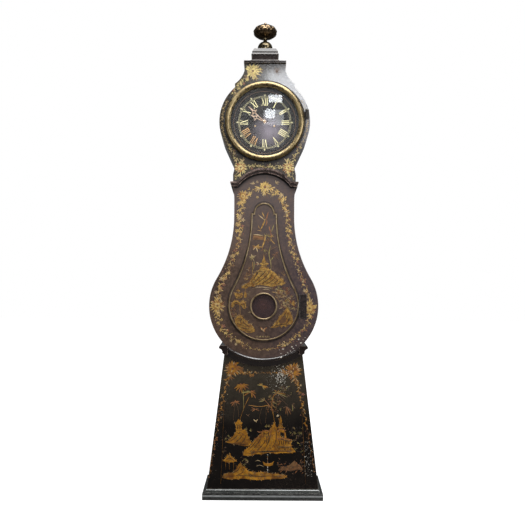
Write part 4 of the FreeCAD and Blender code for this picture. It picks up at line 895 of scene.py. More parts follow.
def paint_trunk():
    p = Painter("trunk", "case", "trunk_front", leaf_gilt, shade_gilt, 23)
    heart = p.at(265, 187)
    p.bloom(heart, 0.030, 13)
    p.leaves(heart + Vector((-0.022, -0.004)), 205, 6, 0.028, 70)
    p.leaves(heart + Vector((0.022, -0.006)), -30, 5, 0.024, 80)
    p.leaves(heart + Vector((0.0, -0.020)), 270, 7, 0.024, 110)
    # Place, angle, count and length of each fan of leaves
    sprigs = (
        (253.5, 184.5, 110, 5, 0.016),
        (257, 183, 70, 4, 0.013),
        (276, 184, 50, 5, 0.015),
        (272.5, 187.5, 20, 3, 0.016),
        (248.5, 190, 95, 5, 0.013),
        (258, 196, 250, 5, 0.013),
        (272, 194, 300, 5, 0.015))
    for px, py, angle, count, long in sprigs:
        p.leaves(p.at(px, py), angle, count, long, 100, p.cream if py < 186 else None)
    p.garland(p.track(((258, 190), (253, 190.5), (248, 192.5))), 0.014, 0.010)
    p.garland(p.track(((271, 190), (274.5, 193.5), (277, 196))), 0.014, 0.010)
    p.cluster(p.at(243, 196), 0.026, 11, p.rust)
    p.small_flower(p.at(249.5, 194.5), 0.012, p.gold)
    p.leaves(p.at(241, 201), 260, 6, 0.022, 110)
    for px, py in ((277, 192), (281, 195.5), (284, 198.5), (280.5, 199.5)):
        p.small_flower(p.at(px, py), 0.013)
        p.leaves(p.at(px, py), p.rng.uniform(0, 360), 5, 0.016, 200)
    left = [(243, 199), (241.2, 207.6), (239.8, 217), (239.6, 227), (239.6, 236.7), (237.9, 246),
            (234.8, 253), (230.6, 263.5), (227, 273.5), (223.2, 281.5), (219.3, 290), (217.6, 297)]
    p.garland(p.track(left[:4]), 0.028, 0.0105, red=0.12)
    p.garland(p.track(left[3:]), 0.025, 0.0100, dim=0.25, red=0.25)
    right = [(282, 199), (286, 207.6), (287.6, 218), (288.4, 228), (289.8, 237), (291.8, 246.5),
             (294.2, 256), (298.6, 269), (303.2, 281.5), (307, 291), (308.8, 299)]
    p.garland(p.track(right[:3]), 0.025, 0.0105, dim=0.2, red=0.2)
    p.garland(p.track(right[2:]), 0.023, 0.0110, fade=0.1, dim=0.35, red=0.2)
    for middle in (p.at(217.5, 305.6), p.at(309.6, 308.4)):
        p.cluster(middle, 0.034, 15, p.rust)
        p.leaves(middle + Vector((0, 0.026)), 90, 6, 0.022, 120)
        p.leaves(middle + Vector((0, -0.028)), 270, 6, 0.022, 120)
    low_left = (
        (217.4, 313), (218.6, 320), (221, 326), (225, 330.5), (229.8, 336), (235.6, 340.5),
        (241.7, 344), (248, 346.8))
    p.garland(p.track(low_left), 0.026, 0.0100, blooms=0.3, dim=0.25, red=0.35)
    low_middle = ((248, 346.8), (256, 349.2), (266, 349.6), (276, 348))
    p.garland(p.track(low_middle), 0.015, 0.012, fade=0.3, dim=0.6)
    low_right = (
        (309.6, 315.5), (307.4, 323.5), (303.6, 328.8), (299, 333.4), (294, 338), (289, 342),
        (283, 345), (276, 347.4))
    p.garland(p.track(low_right), 0.025, 0.0105, blooms=0.3, fade=0.1, dim=0.3, red=0.2)
    p.make()


def paint_door():
    p = Painter("door", "trunk_door", "trunk_door", door_gilt, shade_deep, 37)
    pale, soft = p.cream, p.gold
    palm_shade = (
        (253.2, 234.2), (258, 234.6), (264.2, 235.8), (264, 240.2), (258.6, 239.6), (253, 239.8))
    p.dusk.patch(p.track(palm_shade), 0.0003)
    # Pixel path, width and sheet of each stroke
    figures = (
        (((258.2, 214.8), (261.2, 217.2), (264.4, 219.8)), 0.0044, pale),
        (((262, 212), (263.4, 215), (264.8, 218.6)), 0.0040, soft),
        (((268.4, 211.8), (267.2, 215.6), (266.4, 220)), 0.0046, p.rust),
        (((265.4, 218.4), (264, 222.4), (262.2, 226.6), (260, 230.6)), 0.0062, soft),
        (((266.6, 219.6), (266.8, 222.4), (265.6, 225.6)), 0.0040, p.rust),
        (((258.6, 225.2), (259, 227.6), (260.6, 229.2)), 0.0032, soft),
        (((257.2, 230.4), (259.4, 230.6), (261.8, 231.2)), 0.0026, soft),
        (((269, 226.2), (269.6, 229), (270.8, 232.4)), 0.0040, p.rust),
        (((273.8, 224.6), (272.8, 228), (271.2, 232)), 0.0034, p.olive),
        (((270.6, 232.4), (271.4, 236), (270.6, 239.4)), 0.0030, p.rust),
        (((253.4, 234.6), (258.4, 235), (263.8, 236.2)), 0.0046, pale),
        (((253.6, 236.8), (259, 237.2), (264, 238.4)), 0.0036, p.rust),
        (((264.9, 234.6), (265, 237.8), (264.4, 241.4), (262.9, 245.6), (262.4, 249)), 0.0056, soft),
        (((270.2, 238.6), (272.4, 241.6), (275, 244)), 0.0036, soft),
        (((270.9, 244.6), (269.6, 249.4), (269, 254.2), (269.8, 259), (270.8, 263.6), (271.3, 270.2)),
         0.0034, p.olive),
        (((270.2, 249.8), (273.6, 248.2), (277.8, 245.8)), 0.0026, p.dusk),
        (((270.4, 261.2), (272.2, 258.6), (273.6, 256.4)), 0.0026, p.olive),
        (((254.2, 261.4), (254, 265.6), (253.2, 270.4)), 0.0026, p.olive))
    for path, wide, sheet in figures:
        p.line(path, wide, sheet, swell)
    # Box of pixels, count, length and sheets of strewn leaves
    upper_leaves = (
        (264.6, 235, 272.2, 242.4, 12, 0.0095, (soft, p.rust, p.olive)),
        (262, 248, 267, 254.6, 7, 0.0085, (p.dusk, p.rust, p.olive)),
        (272.8, 252, 278, 258, 7, 0.0105, (p.rust, p.dusk)))
    for patch in upper_leaves:
        p.scatter(*patch)
    # Place, leaves as (angle, length), their width, their sheets in turn, droop
    palm_crowns = (
        (256, 246.8, ((-4, 0.030), (-72, 0.027), (35, 0.018), (205, 0.016), (165, 0.017), (228, 0.020),
                      (-30, 0.020)), 0.0056, (soft, pale, soft, p.rust)),
        (251.8, 257, ((18, 0.022), (60, 0.012), (100, 0.015), (172, 0.013), (205, 0.014), (258, 0.017),
                      (300, 0.024), (-12, 0.015)), 0.0036, (pale, p.olive)),
        (258.6, 263.4, ((150, 0.013), (200, 0.016), (240, 0.012)), 0.0036, (pale, p.rust)))
    for crown in palm_crowns:
        p.star(*crown)
    pavilion = (
        (263.9, 254.6), (264.9, 259), (266.2, 262), (269.0, 264.2), (266.4, 264.8), (266.8, 266.6),
        (261.0, 266.6), (261.6, 264.8), (258.8, 264.4), (261.8, 262), (263, 259))
    p.hill(pavilion, ())
    for step in range(3):
        y = 262.4 + 1.6 * step
        p.line(((260.6 - step * 0.4, y + 0.5), (263.9, y - 0.3), (267.2 + step * 0.4, y + 0.5)),
               0.0022, p.shade, swell, base=ON_HILL)
    island = (
        (241, 288), (244.4, 284.4), (248.4, 282.6), (250.9, 279.6), (253.6, 276.2), (255.6, 272.4),
        (258.4, 270.4), (261, 267), (266.8, 267), (269.4, 269.4), (272.4, 271), (275.6, 273.4),
        (279, 276.6), (282.2, 279), (285.6, 283.8), (281.6, 285.4), (277, 285.2), (272.4, 286.8),
        (266.2, 285.6), (258.6, 284.9), (254, 286.8), (249.4, 286.6), (246.6, 288.6))
    p.hill(island, (
        ((262, 268.6), (258, 272.4), (254.6, 277.8), (251, 281.8)),
        ((267, 268.8), (264, 273), (258, 278.6), (252.4, 283.6)),
        ((270, 270.8), (267, 275.4), (261, 280.4), (255, 284.6)),
        ((273, 272.4), (270, 277.6), (265, 281.6), (259, 284.2)),
        ((276.2, 275), (273.4, 279.4), (268.6, 283), (263, 285)),
        ((279.4, 278), (276.4, 281.4), (271, 284.6)), ((282.4, 280.6), (279, 283.4), (275, 285)),
        ((249, 284), (246, 286), (243.4, 287.6))))
    for x in (256, 258, 260, 262, 264):
        p.line(((x, 272.4), (x, 274.6)), 0.0036, p.ink, even, base=ON_HILL)
    for x, y in ((240.6, 319.4), (243.4, 321), (285.2, 315.4), (288.2, 318.4)):
        p.line(((x, y), (x, y + 2.6)), 0.0034, p.ink, even, base=ON_HILL)
    p.line(((256, 272), (261, 271.4), (266, 272)), 0.0024, p.shade, swell, base=ON_HILL)
    p.line(((252.4, 288.6), (259, 287.2), (266, 287.6), (273, 288.6)), 0.0024, pale, swell)
    p.line(((262, 290.2), (266, 289.2), (270.4, 290.4)), 0.0020, pale, swell)
    island_leaves = (
        (244.6, 267.6, 251.6, 280.4, 16, 0.0085, (soft, pale, p.rust, p.rose)),
        (278.6, 270.6, 284.6, 277.6, 7, 0.0080, (soft, p.rust, p.dusk)))
    for patch in island_leaves:
        p.scatter(*patch)
    for i in range(46):
        foot = p.at(p.rng.uniform(245.6, 258), p.rng.uniform(278.6, 287.6))
        p.pick(pale, p.shade, p.shade).leaf(foot, p.rng.uniform(20, 160), p.near(0.006, 0.3), 0.0016,
                                            20, ON_HILL)
    for path in (((252.6, 262), (252.4, 270), (252.6, 278)), ((246.6, 272), (247, 280))):
        p.line(path, 0.0022, soft)
    p.line(((245.6, 288.4), (245.4, 291.4)), 0.0022, soft)
    post = ((245.3, 290.6), (246.9, 294.6), (246.4, 297.8), (244.4, 297.8), (243.8, 294.8))
    p.hill(post, ())
    stone = ((236.2, 290.8), (238.2, 288.8), (240, 290.6), (239, 292))
    p.hill(stone, ())
    shrub = (
        (234.2, 293.6), (236.8, 292.8), (238.6, 294), (241, 292.8), (243, 293.8), (242.2, 297.2),
        (239.4, 298.6), (236, 298))
    p.hill(shrub, (((235.4, 296), (238.6, 297.4), (241.8, 296)),))
    arbour = (
        (230.8, 306.6), (231.6, 303), (234.4, 300.4), (238, 300.6), (240, 303), (242.2, 300.6),
        (245, 302.2), (246.2, 306), (245.4, 308.6), (243.2, 308.8), (241.8, 306), (239.8, 305),
        (237, 303.8), (234.4, 304.4), (232.8, 307.6))
    p.hill(arbour, (
        ((233, 304.6), (236, 302.4), (239, 303.6)), ((241.6, 303.6), (243.8, 304.2), (244.8, 307))))
    p.line(((239.4, 304), (240, 310), (240.6, 317)), 0.0032, soft)
    left_leaves = (
        (230.6, 308.6, 236, 320, 13, 0.0080, (pale, p.rust, p.rose, soft)),
        (247.6, 291.6, 252.6, 300.6, 6, 0.0075, (p.olive, p.dusk)))
    for patch in left_leaves:
        p.scatter(*patch)
    p.leaves(p.at(249.8, 312.6), 90, 4, 0.008, 200, pale)
    left_bank = (
        (235.2, 319.4), (236.8, 316.4), (240.4, 314.8), (242.8, 317), (244.6, 319.8), (248, 321.2),
        (247, 323.4), (251.4, 325), (254.4, 328.6), (254.8, 331.4), (251, 333), (246.4, 332.4),
        (241, 330), (237, 326.6), (235, 322.6))
    p.hill(left_bank, (
        ((237.6, 319), (240.2, 318), (242.4, 320.4)), ((236.8, 322.6), (240, 324.6), (244, 325.4)),
        ((240, 327), (245, 328.6), (250, 328.8)), ((243.6, 322.4), (246, 324.4), (249.6, 327.2)),
        ((244, 330.6), (248.4, 331.4), (252, 331))))
    right_bank = (
        (287.4, 307.2), (289.2, 310.4), (291.2, 314), (292.6, 319), (293, 322.6), (291, 324.4),
        (287.4, 325), (285.4, 327.4), (283.4, 325.6), (281.6, 327.8), (279.6, 326), (276.4, 327.6),
        (270.6, 327.6), (274.8, 323.8), (277.6, 320), (280, 315.6), (283.4, 313), (285.6, 309.8))
    p.hill(right_bank, (
        ((286.8, 310.6), (284.6, 315), (280.6, 320), (276, 324.6)),
        ((288.6, 313), (287, 317.6), (284, 321.6), (279.6, 325)),
        ((290.4, 316.6), (289, 320.4), (286, 323.6)), ((273, 326.8), (280, 324.8), (288, 324.2))))
    ring_x, ring_y, ring_reach = 263.4, 306.4, 17.2
    edge_x, edge_y, lean = 297, 306, 0.42

    def beside_window(px, py):
        """Clear of the window's ring and of the door's slanting edge."""
        if px >= edge_x - max(0, edge_y - py) * lean:
            return False
        return math.hypot(px - ring_x, py - ring_y) > ring_reach

    p.scatter(270, 287, 295.6, 308.6, 190, 0.0080, (pale, p.rose, p.olive, p.rust, pale), beside_window)
    bank_shade = (
        (279, 322.8), (281, 318.4), (284.4, 316.2), (286.4, 318.8), (285.6, 322.2), (282, 324))
    p.dusk.patch(p.track(bank_shade), 0.0011)
    sprays = (
        ((272.4, 292), (279, 293.4), (286, 297), (292, 303)),
        ((278, 290), (285, 292), (292.4, 297.4)),
        ((275, 296), (279, 301), (281, 307)),
        ((282, 296), (285.4, 300), (287, 305)))
    for path in sprays:
        p.line(path, 0.0020, soft)
    rock = ((293.2, 300.4), (294.8, 303.4), (294.4, 306.4), (292.4, 305), (291.6, 302.6))
    p.hill(rock, ())
    p.bird(263.8, 329.8, 0.021, p.rust)
    p.bird(263, 330, 0.015, pale)
    for i in range(20):
        p.pick(pale, pale, p.olive).leaf(p.at(256.6 + i * 0.66, 337.5), 90 + p.rng.uniform(-38, 38),
                                         p.near(0.0075), 0.0020, 20)
    p.make()


def paint_base():
    p = Painter("base", "case", "base_front", base_gilt, shade_deep, 53)
    pale, soft = p.cream, p.gold
    for px, py, way in ((232.6, 368.8, 1), (293.2, 371, -1)):
        middle = p.at(px, py)
        p.cluster(middle, 0.038, 15, p.rust)
        p.leaves(middle + Vector((way * 0.032, -0.004)), 90 - way * 96, 6, 0.024, 90)
        p.leaves(middle + Vector((-way * 0.010, -0.032)), 265, 6, 0.026, 100)
    top_left = ((239, 370.6), (244, 372), (250, 373.4), (256, 373.4))
    p.garland(p.track(top_left), 0.022, 0.012)
    top_right = ((256, 373.4), (263, 372.8), (271, 372.8), (280, 372.6), (287, 371.6))
    p.garland(p.track(top_right), 0.009, 0.009, fade=0.25)
    left_stem = (
        (230.4, 375), (227.4, 381), (225.4, 388), (223.6, 396), (221.6, 404), (220, 412), (218.4, 421))
    p.garland(p.track(left_stem), 0.024, 0.013)
    left_worn = ((218.4, 421), (216.6, 432), (214.6, 443), (212.4, 455), (210.6, 467), (209, 478))
    p.garland(p.track(left_worn), 0.015, 0.013, fade=0.35, dim=0.45, red=0.25, main=p.rust)
    right_stem = (
        (295.4, 377), (297.6, 384), (299.6, 391), (301.4, 399), (303.2, 408), (305, 417), (306.6, 425))
    p.garland(p.track(right_stem), 0.022, 0.013, fade=0.1)
    right_worn = ((306.6, 425), (308.6, 437), (310.6, 449), (312.6, 461), (314.6, 473))
    p.garland(p.track(right_worn), 0.015, 0.013, fade=0.4, dim=0.5, red=0.25, main=p.rust)
    for a, b in (((224.2, 402), (220.8, 484)), ((301.6, 402), (305.6, 484))):
        p.line((a, b), 0.00084, p.gold, even)
    # Place, leaves as (angle, length), their width, their sheets in turn, droop
    palm_crowns = (
        (242.2, 385.8, ((185, 0.042), (204, 0.037), (232, 0.036), (256, 0.036), (160, 0.027),
                        (120, 0.016), (60, 0.017), (22, 0.031), (-6, 0.034), (-38, 0.026),
                        (282, 0.022)), 0.0068, (soft, soft, p.rust), 42),
        (250.7, 392.4, ((172, 0.045), (196, 0.036), (150, 0.022)), 0.0062, (p.olive, soft), 34),
        (250.7, 392.4, ((32, 0.021), (2, 0.027), (-36, 0.035), (-62, 0.028), (70, 0.012)), 0.0062,
         (p.rust, soft), 34),
        (235.1, 402, ((186, 0.027), (218, 0.027), (244, 0.024), (20, 0.021), (-12, 0.024),
                      (-52, 0.021), (90, 0.010)), 0.0048, (p.rust, p.rust, p.dusk), 34),
        (262.2, 385.6, ((168, 0.024), (140, 0.017), (96, 0.014), (-30, 0.024), (-58, 0.021),
                        (-12, 0.030)), 0.0054, (p.olive, soft), 10),
        (264.4, 400.6, ((150, 0.021), (172, 0.030), (192, 0.026), (122, 0.016), (94, 0.013)), 0.0032,
         (p.olive, p.dusk)),
        (255.4, 409.2, ((160, 0.023), (192, 0.026), (216, 0.019), (18, 0.017), (-22, 0.019)), 0.0040,
         (p.rust, p.dusk)),
        (276.7, 393.2, ((58, 0.019), (34, 0.026), (14, 0.040), (-2, 0.046), (-16, 0.053), (-29, 0.047),
                        (118, 0.018), (164, 0.023), (200, 0.018)), 0.0036, (soft, p.olive, p.dusk), 12),
        (286.6, 406.6, ((-38, 0.036), (-58, 0.042), (-78, 0.046), (-98, 0.038), (200, 0.018)), 0.0044,
         (p.dusk, p.rust), 10),
        (292, 404.4, ((-50, 0.026), (-80, 0.034), (20, 0.014)), 0.0034, (p.dusk, p.olive), 10))
    for crown in palm_crowns:
        p.star(*crown)
    # Box of pixels, count, length and sheets of strewn leaves
    palm_leaves = (
        (266, 396, 282, 412, 26, 0.0100, (p.dusk, p.olive, p.rust)),
        (280, 385, 292, 396, 12, 0.0095, (p.dusk, p.olive)))
    for patch in palm_leaves:
        p.scatter(*patch)
    # Pixel path, width and sheet of each stroke
    stems = (
        (((249.2, 397), (245.6, 404), (242.6, 411.4), (239.6, 421)), 0.0030, soft),
        (((243.2, 390), (243.5, 399.4), (243.6, 405.4), (243.2, 411.4)), 0.0026, p.olive),
        (((235.4, 404), (234, 412), (233.2, 420)), 0.0018, p.dusk),
        (((237.6, 406), (238.4, 412), (238.6, 417)), 0.0018, p.dusk),
        (((276.7, 393.6), (273, 397), (271.6, 406.2), (272.6, 411), (273.8, 418), (275, 424)), 0.0036,
         soft),
        (((271.6, 407.8), (267.6, 405.6), (260, 406.6), (248.6, 405.2)), 0.0026, soft),
        (((270.6, 407.4), (266, 401.4), (263.2, 398.6)), 0.0028, p.rust),
        (((276.7, 395), (282, 399.6), (288, 405.6)), 0.0020, p.dusk),
        (((265.6, 409), (266.2, 416), (265.2, 423)), 0.0016, p.dusk),
        (((262, 408), (259.6, 416), (261, 424)), 0.0014, p.dusk),
        (((277.6, 398), (276.4, 408), (278.4, 414)), 0.0018, p.dusk))
    for path, wide, sheet in stems:
        p.line(path, wide, sheet, lambda t: 1 - 0.35 * t)
    for px, py in ((251, 431.6), (266.4, 427.6), (269, 427.4), (246.4, 430.4)):
        p.star(px, py, ((92, 0.017), (70, 0.014), (114, 0.014), (44, 0.011), (138, 0.011)), 0.0019,
               (p.olive, p.dusk))
    tufts = (
        (288, 427, 303, 452, 44, 0.0080, (p.olive, p.dusk, p.shade)),
        (222, 430, 230, 452, 14, 0.0075, (p.olive, p.dusk)),
        (240, 457, 247, 465, 7, 0.0070, (p.olive, p.dusk)))
    for patch in tufts:
        p.scatter(*patch)
    p.bird(248, 415.4, 0.011, p.dusk)
    p.bird(255.8, 421, 0.015)
    pale.leaf(p.at(276.2, 416.6), 28, 0.016, 0.0075)
    pagoda = (
        (226.6, 442.4), (229, 439.8), (232.4, 437.6), (234.4, 434), (236, 431.6), (235.6, 424.6),
        (234.6, 423.2), (237.2, 421.2), (238.6, 418.8), (240.2, 421.2), (242.8, 423), (241.4, 424.6),
        (241.8, 430), (244.6, 429.4), (246.6, 432), (248.4, 437.2), (251.4, 442.4), (249.4, 445.8),
        (244.6, 446.4), (238.3, 444.6), (231.9, 444))
    p.hill(pagoda, (
        ((236.2, 431.6), (238.6, 433.4), (241.4, 431.4)),
        ((236, 424.6), (238.6, 425.2), (241.4, 424.6)), ((230, 441.4), (235, 437.8), (238, 434.4)),
        ((234, 443.2), (239.6, 439), (243, 434)), ((240, 444.4), (244.2, 440), (246, 435)),
        ((228.4, 443), (238, 444), (248, 445))))
    great_hill = (
        (243, 455.6), (243.8, 451.4), (247, 448.6), (251, 445.4), (253.4, 442), (255, 439.7),
        (257.6, 438), (259.8, 434.4), (262, 432.6), (263.4, 430), (266.4, 431.4), (269.6, 430.2),
        (271.8, 427.6), (273, 424), (274.2, 422.2), (275.4, 425), (277.2, 428.6), (278.4, 432.6),
        (281, 436.6), (283.6, 438.4), (292.6, 441.4), (290.8, 443), (291.4, 447), (293.8, 449),
        (295.6, 452), (289, 453.4), (283.7, 452.8), (276, 453.8), (268, 452.6), (262, 454.6),
        (256, 454), (250.4, 456.2))
    p.hill(great_hill, (
        ((256.6, 441), (252.6, 445.6), (248, 450.4)),
        ((261.4, 434.4), (260, 440), (255.6, 446), (250, 452)),
        ((266.2, 433), (266, 440), (261.4, 446), (256, 452)),
        ((272.6, 427), (270.4, 435), (268.6, 442), (264, 450)),
        ((275.4, 428), (276.4, 435), (275.4, 442), (270.4, 450)),
        ((246, 454.2), (256, 452), (268, 451), (282, 451.4), (292, 451.6)),
        ((263, 432.6), (266, 434), (269.6, 432.6)), ((278, 437.6), (284, 440), (291.6, 441.8)),
        ((279.4, 446.8), (285, 447.6), (291.4, 447.2))))
    # Windows and railings: level places, top, foot and width of their bars
    for places, top, foot, wide in (
            ((279.8, 281.6, 283.4, 285.2, 287, 288.8), 440.8, 444.4, 0.0042),
            ((264, 268.2, 280.8), 432.2, 435.6, 0.0050),
            ((278.2, 279.7, 281.2, 282.7, 284.2, 285.7, 287.2, 288.7, 290.2), 447.2, 449.6, 0.0024),
            ((264.6, 266.6, 268.6), 440, 443, 0.0034),
            ((237.4, 240), 426, 429, 0.0036)):
        for x in places:
            p.line(((x, top), (x, foot)), wide, p.ink, even, ON_HILL)
    sills = (
        ((262, 436.4), (271.4, 436)),
        ((278, 439.6), (291, 441)),
        ((277.6, 446.4), (291, 446.6)),
        ((277.6, 450.2), (291.6, 450.4)),
        ((235.6, 430.2), (242, 430.2)))
    for ends in sills:
        p.line(ends, 0.0018, p.ink, even, ON_HILL)
    roofs = (
        ((257.4, 431.4), (260.4, 432.2), (265.6, 430.4), (270.4, 431.6), (272.4, 430.6)),
        ((254.6, 440), (257.6, 437.6), (261.4, 434.6)),
        ((277.2, 438.6), (284, 438.4), (291.4, 440.2)),
        ((277, 430.8), (281, 429.2), (285.8, 430.6)),
        ((279, 432), (279.2, 437.4)),
        ((284.4, 432), (284.6, 437.6)),
        ((262, 432.6), (262.4, 438)),
        ((270.4, 432.6), (270.2, 437)))
    for roof in roofs:
        p.line(roof, 0.0034, p.rust, even, ON_HILL)
    p.line(((249.6, 451.8), (262, 452), (277, 451.4), (293, 451)), 0.0032, p.shade, swell, ON_HILL)
    tower = (
        (280.4, 415.4), (281, 419), (282, 421), (281.4, 424), (283.6, 427.8), (282.2, 428.8),
        (282.4, 431), (278.8, 431), (279, 428.6), (277.6, 427.8), (279.6, 424), (278.9, 421),
        (279.9, 419))
    p.hill(tower, (((278.6, 427.8), (280.6, 428.6), (282.8, 427.8)),))
    gate = (
        (278.4, 433.4), (280.4, 430.6), (284, 430.2), (286, 433.2), (286.4, 437.8), (284.8, 437.8),
        (284.2, 433.6), (281.6, 432.4), (280, 434.4), (279.8, 437.6), (278.4, 437.6))
    p.hill(gate, ())
    hut_roof = (
        (222.2, 461), (225.6, 458.6), (227.4, 455.8), (229.4, 454.2), (231.2, 456), (233.6, 458.6),
        (237.6, 461.4), (233, 462.2), (226.6, 462.4))
    p.hill(hut_roof, (((225, 460.4), (229.6, 458.4), (234.4, 460.6)),))
    for x in (225.6, 229.4, 233.6):
        p.line(((x, 462), (x, 470)), 0.0020, soft)
    shore = (
        (222.8, 478), (224, 474.2), (229, 473.4), (234, 472.2), (236.6, 468), (238, 464.8),
        (240.4, 463), (242.8, 465.4), (245.4, 468.4), (249, 471.4), (257, 472.6), (263, 472),
        (268.2, 473.4), (276, 473.8), (284.6, 475), (287.4, 477), (281.1, 478.8), (270, 479.2),
        (257, 480.2), (243, 478.6), (229.5, 479.6))
    p.hill(shore, (
        ((240.4, 466), (237.4, 470.6), (231, 474)), ((243, 468), (242.6, 472.4), (236, 475.6)),
        ((226, 477), (240, 475.6), (256, 476.4), (270, 476), (284, 477)),
        ((248, 472.8), (250.4, 475), (258, 475.4))))
    boat = (
        (262.4, 461.6), (266, 463.2), (271.4, 463), (274, 461), (272.6, 465), (268, 466.4),
        (264, 465.4))
    p.hill(boat, ())
    p.line(((267.4, 463), (267.8, 458), (267.2, 456)), 0.0026, soft)
    p.line(((255, 461.4), (258, 460.4), (261, 461.6)), 0.0018, pale, swell)
    p.line(((256, 466), (260, 465.2), (264, 466.6)), 0.0018, pale, swell)
    p.line(((245, 460), (248, 461.4), (246, 463.4)), 0.0018, pale, swell)
    far_shore = (
        (278, 470.4), (281, 466.6), (286, 466.8), (290, 464.6), (294.6, 460.4), (297.6, 464),
        (300.6, 466), (303.2, 470.4), (297, 469.6), (291, 471.4), (285, 470.4))
    p.dusk.patch(p.track(far_shore), 0.0006)
    for i in range(90):
        foot = p.at(p.rng.uniform(278, 304), p.rng.gauss(467, 3.5))
        p.pick(p.dusk, p.rust, p.shade).leaf(foot, p.rng.uniform(20, 160), p.near(0.009, 0.4), 0.0022,
                                             20, 0.0006)
    p.make()


def paint_dial():
    """Roman hours that all stand outwards, a minute track and a small sprig outside each hour."""
    gilt = Relief("dial_numerals", "case", "dial", numeral_gilt, "gilt", 0.0005)
    warm = Relief("dial_numerals_low", "case", "dial", warm_gilt, "gilt", 0.0005)
    track = (0.1165, 0.1215)
    for radius in track:
        gilt.stroke(around(radius, 0, 360, 145), 0.0009, taper=even)
    for minute in range(60):
        a = math.radians(6 * minute)
        ends = [Vector((r * math.cos(a), DIAL_Z + r * math.sin(a))) for r in track]
        gilt.stroke(ends, 0.0015 if minute % 5 == 0 else 0.0007, taper=even)
    widths = {"I": 0.0076, "V": 0.0156, "X": 0.0156}
    low, high, thick, thin, serif = 0.079, 0.112, 0.0035, 0.0014, 0.0030
    for hour, word in enumerate("XII I II III IIII V VI VII VIII IX X XI".split()):
        a = math.radians(90 - 30 * hour)
        out, across = Vector((math.cos(a), math.sin(a))), Vector((math.sin(a), -math.cos(a)))
        sheet = warm if hour in (7, 8) else gilt

        def bar(u0, r0, u1, r1, wide):
            ends = [Vector((0, DIAL_Z)) + across * u + out * r for u, r in ((u0, r0), (u1, r1))]
            sheet.stroke(ends, wide, taper=even)

        u = -sum(widths[letter] for letter in word) / 2
        for letter in word:
            wide = widths[letter]
            middle = u + wide / 2
            reach = wide * 0.36
            if letter == "I":
                feet = ((middle, high), (middle, low))
                bar(middle, low, middle, high, thick)
            elif letter == "V":
                feet = ((middle - reach, high), (middle + reach, high))
                bar(middle - reach, high, middle, low, thick)
                bar(middle + reach, high, middle, low, thin)
            else:
                feet = tuple((middle + k * reach, r) for k in (-1, 1) for r in (low, high))
                bar(middle - reach, high, middle + reach, low, thick)
                bar(middle + reach, high, middle - reach, low, thin)
            for x, r in feet:
                bar(x - serif, r, x + serif, r, thin)
            u += wide
        sprig = Vector((0, DIAL_Z)) + out * 0.1235
        for turn, long in ((-48, 0.006), (0, 0.0085), (48, 0.006)):
            gilt.leaf(sprig, math.degrees(a) + turn, long, 0.0026)
    gilt.make()
    warm.make()
    sight = Relief("dial_sight_ring", "case", "dial", dusk_gilt, "brass", 0.0007)
    sight.stroke(around(0.1435, 0, 360, 145), 0.0018, taper=even)
    sight.make()


def paint_edge_shadows():
    """Painted shadow: black bands round the bezel, wider below, round the door's bead and under the arch.
    """
    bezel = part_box("bezel_ring")
    rim = (bezel[1].x - bezel[0].x) / 2
    by_ring = Relief("hood_painted_shadow", "hood", "hood_front", ink_and_painted_shadow, "lacquer", 0.0003)
    # A painted shadow round the bezel, wider below it.
    by_ring.stroke(around(rim + 0.0035, 0, 360, 121), 0.013,
                   taper=lambda t: 0.75 + 0.45 * max(0.0, -math.sin(math.tau * t)))
    by_ring.make()
    on_trunk = Relief("trunk_painted_shadow", "case", "trunk_front", ink_and_painted_shadow, "lacquer", 0.0003)
    bead = surface("door_bead")
    outside, far = 0.0062, 1.5
    low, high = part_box("window_ring")
    middle = Vector(((low.x + high.x) / 2, 0, (low.z + high.z) / 2))
    bead_low, bead_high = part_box("door_bead")
    middle.y = (bead_low.y + min(bead_high.y, on_trunk.depth)) / 2
    path = []
    for i in range(241):
        turn = math.tau * i / 240
        a = turn - 0.85 * math.sin(turn)
        way = Vector((math.sin(a), 0, math.cos(a)))
        hit = bead.ray_cast(middle + way * far, -way)[0]
        if hit:
            path.append(Vector((hit.x, hit.z)) + Vector((way.x, way.z)) * outside)
    # A painted shadow outside the door's bead.
    on_trunk.stroke(path, 0.009, taper=even)
    arch = surface("waist_moulding_upper")
    low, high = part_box("waist_moulding_upper")
    depth = (low.y + on_trunk.depth) / 2
    path = []
    for i in range(61):
        x = low.x + (high.x - low.x) * (i + 0.5) / 61
        hit = arch.ray_cast(Vector((x, depth, low.z - 0.1)), Vector((0, 0, 1)))[0]
        if hit:
            path.append(Vector((x, hit.z - 0.003)))
    # A painted shadow under the arched moulding.
    on_trunk.stroke(path, 0.012, taper=even)
    on_trunk.make()


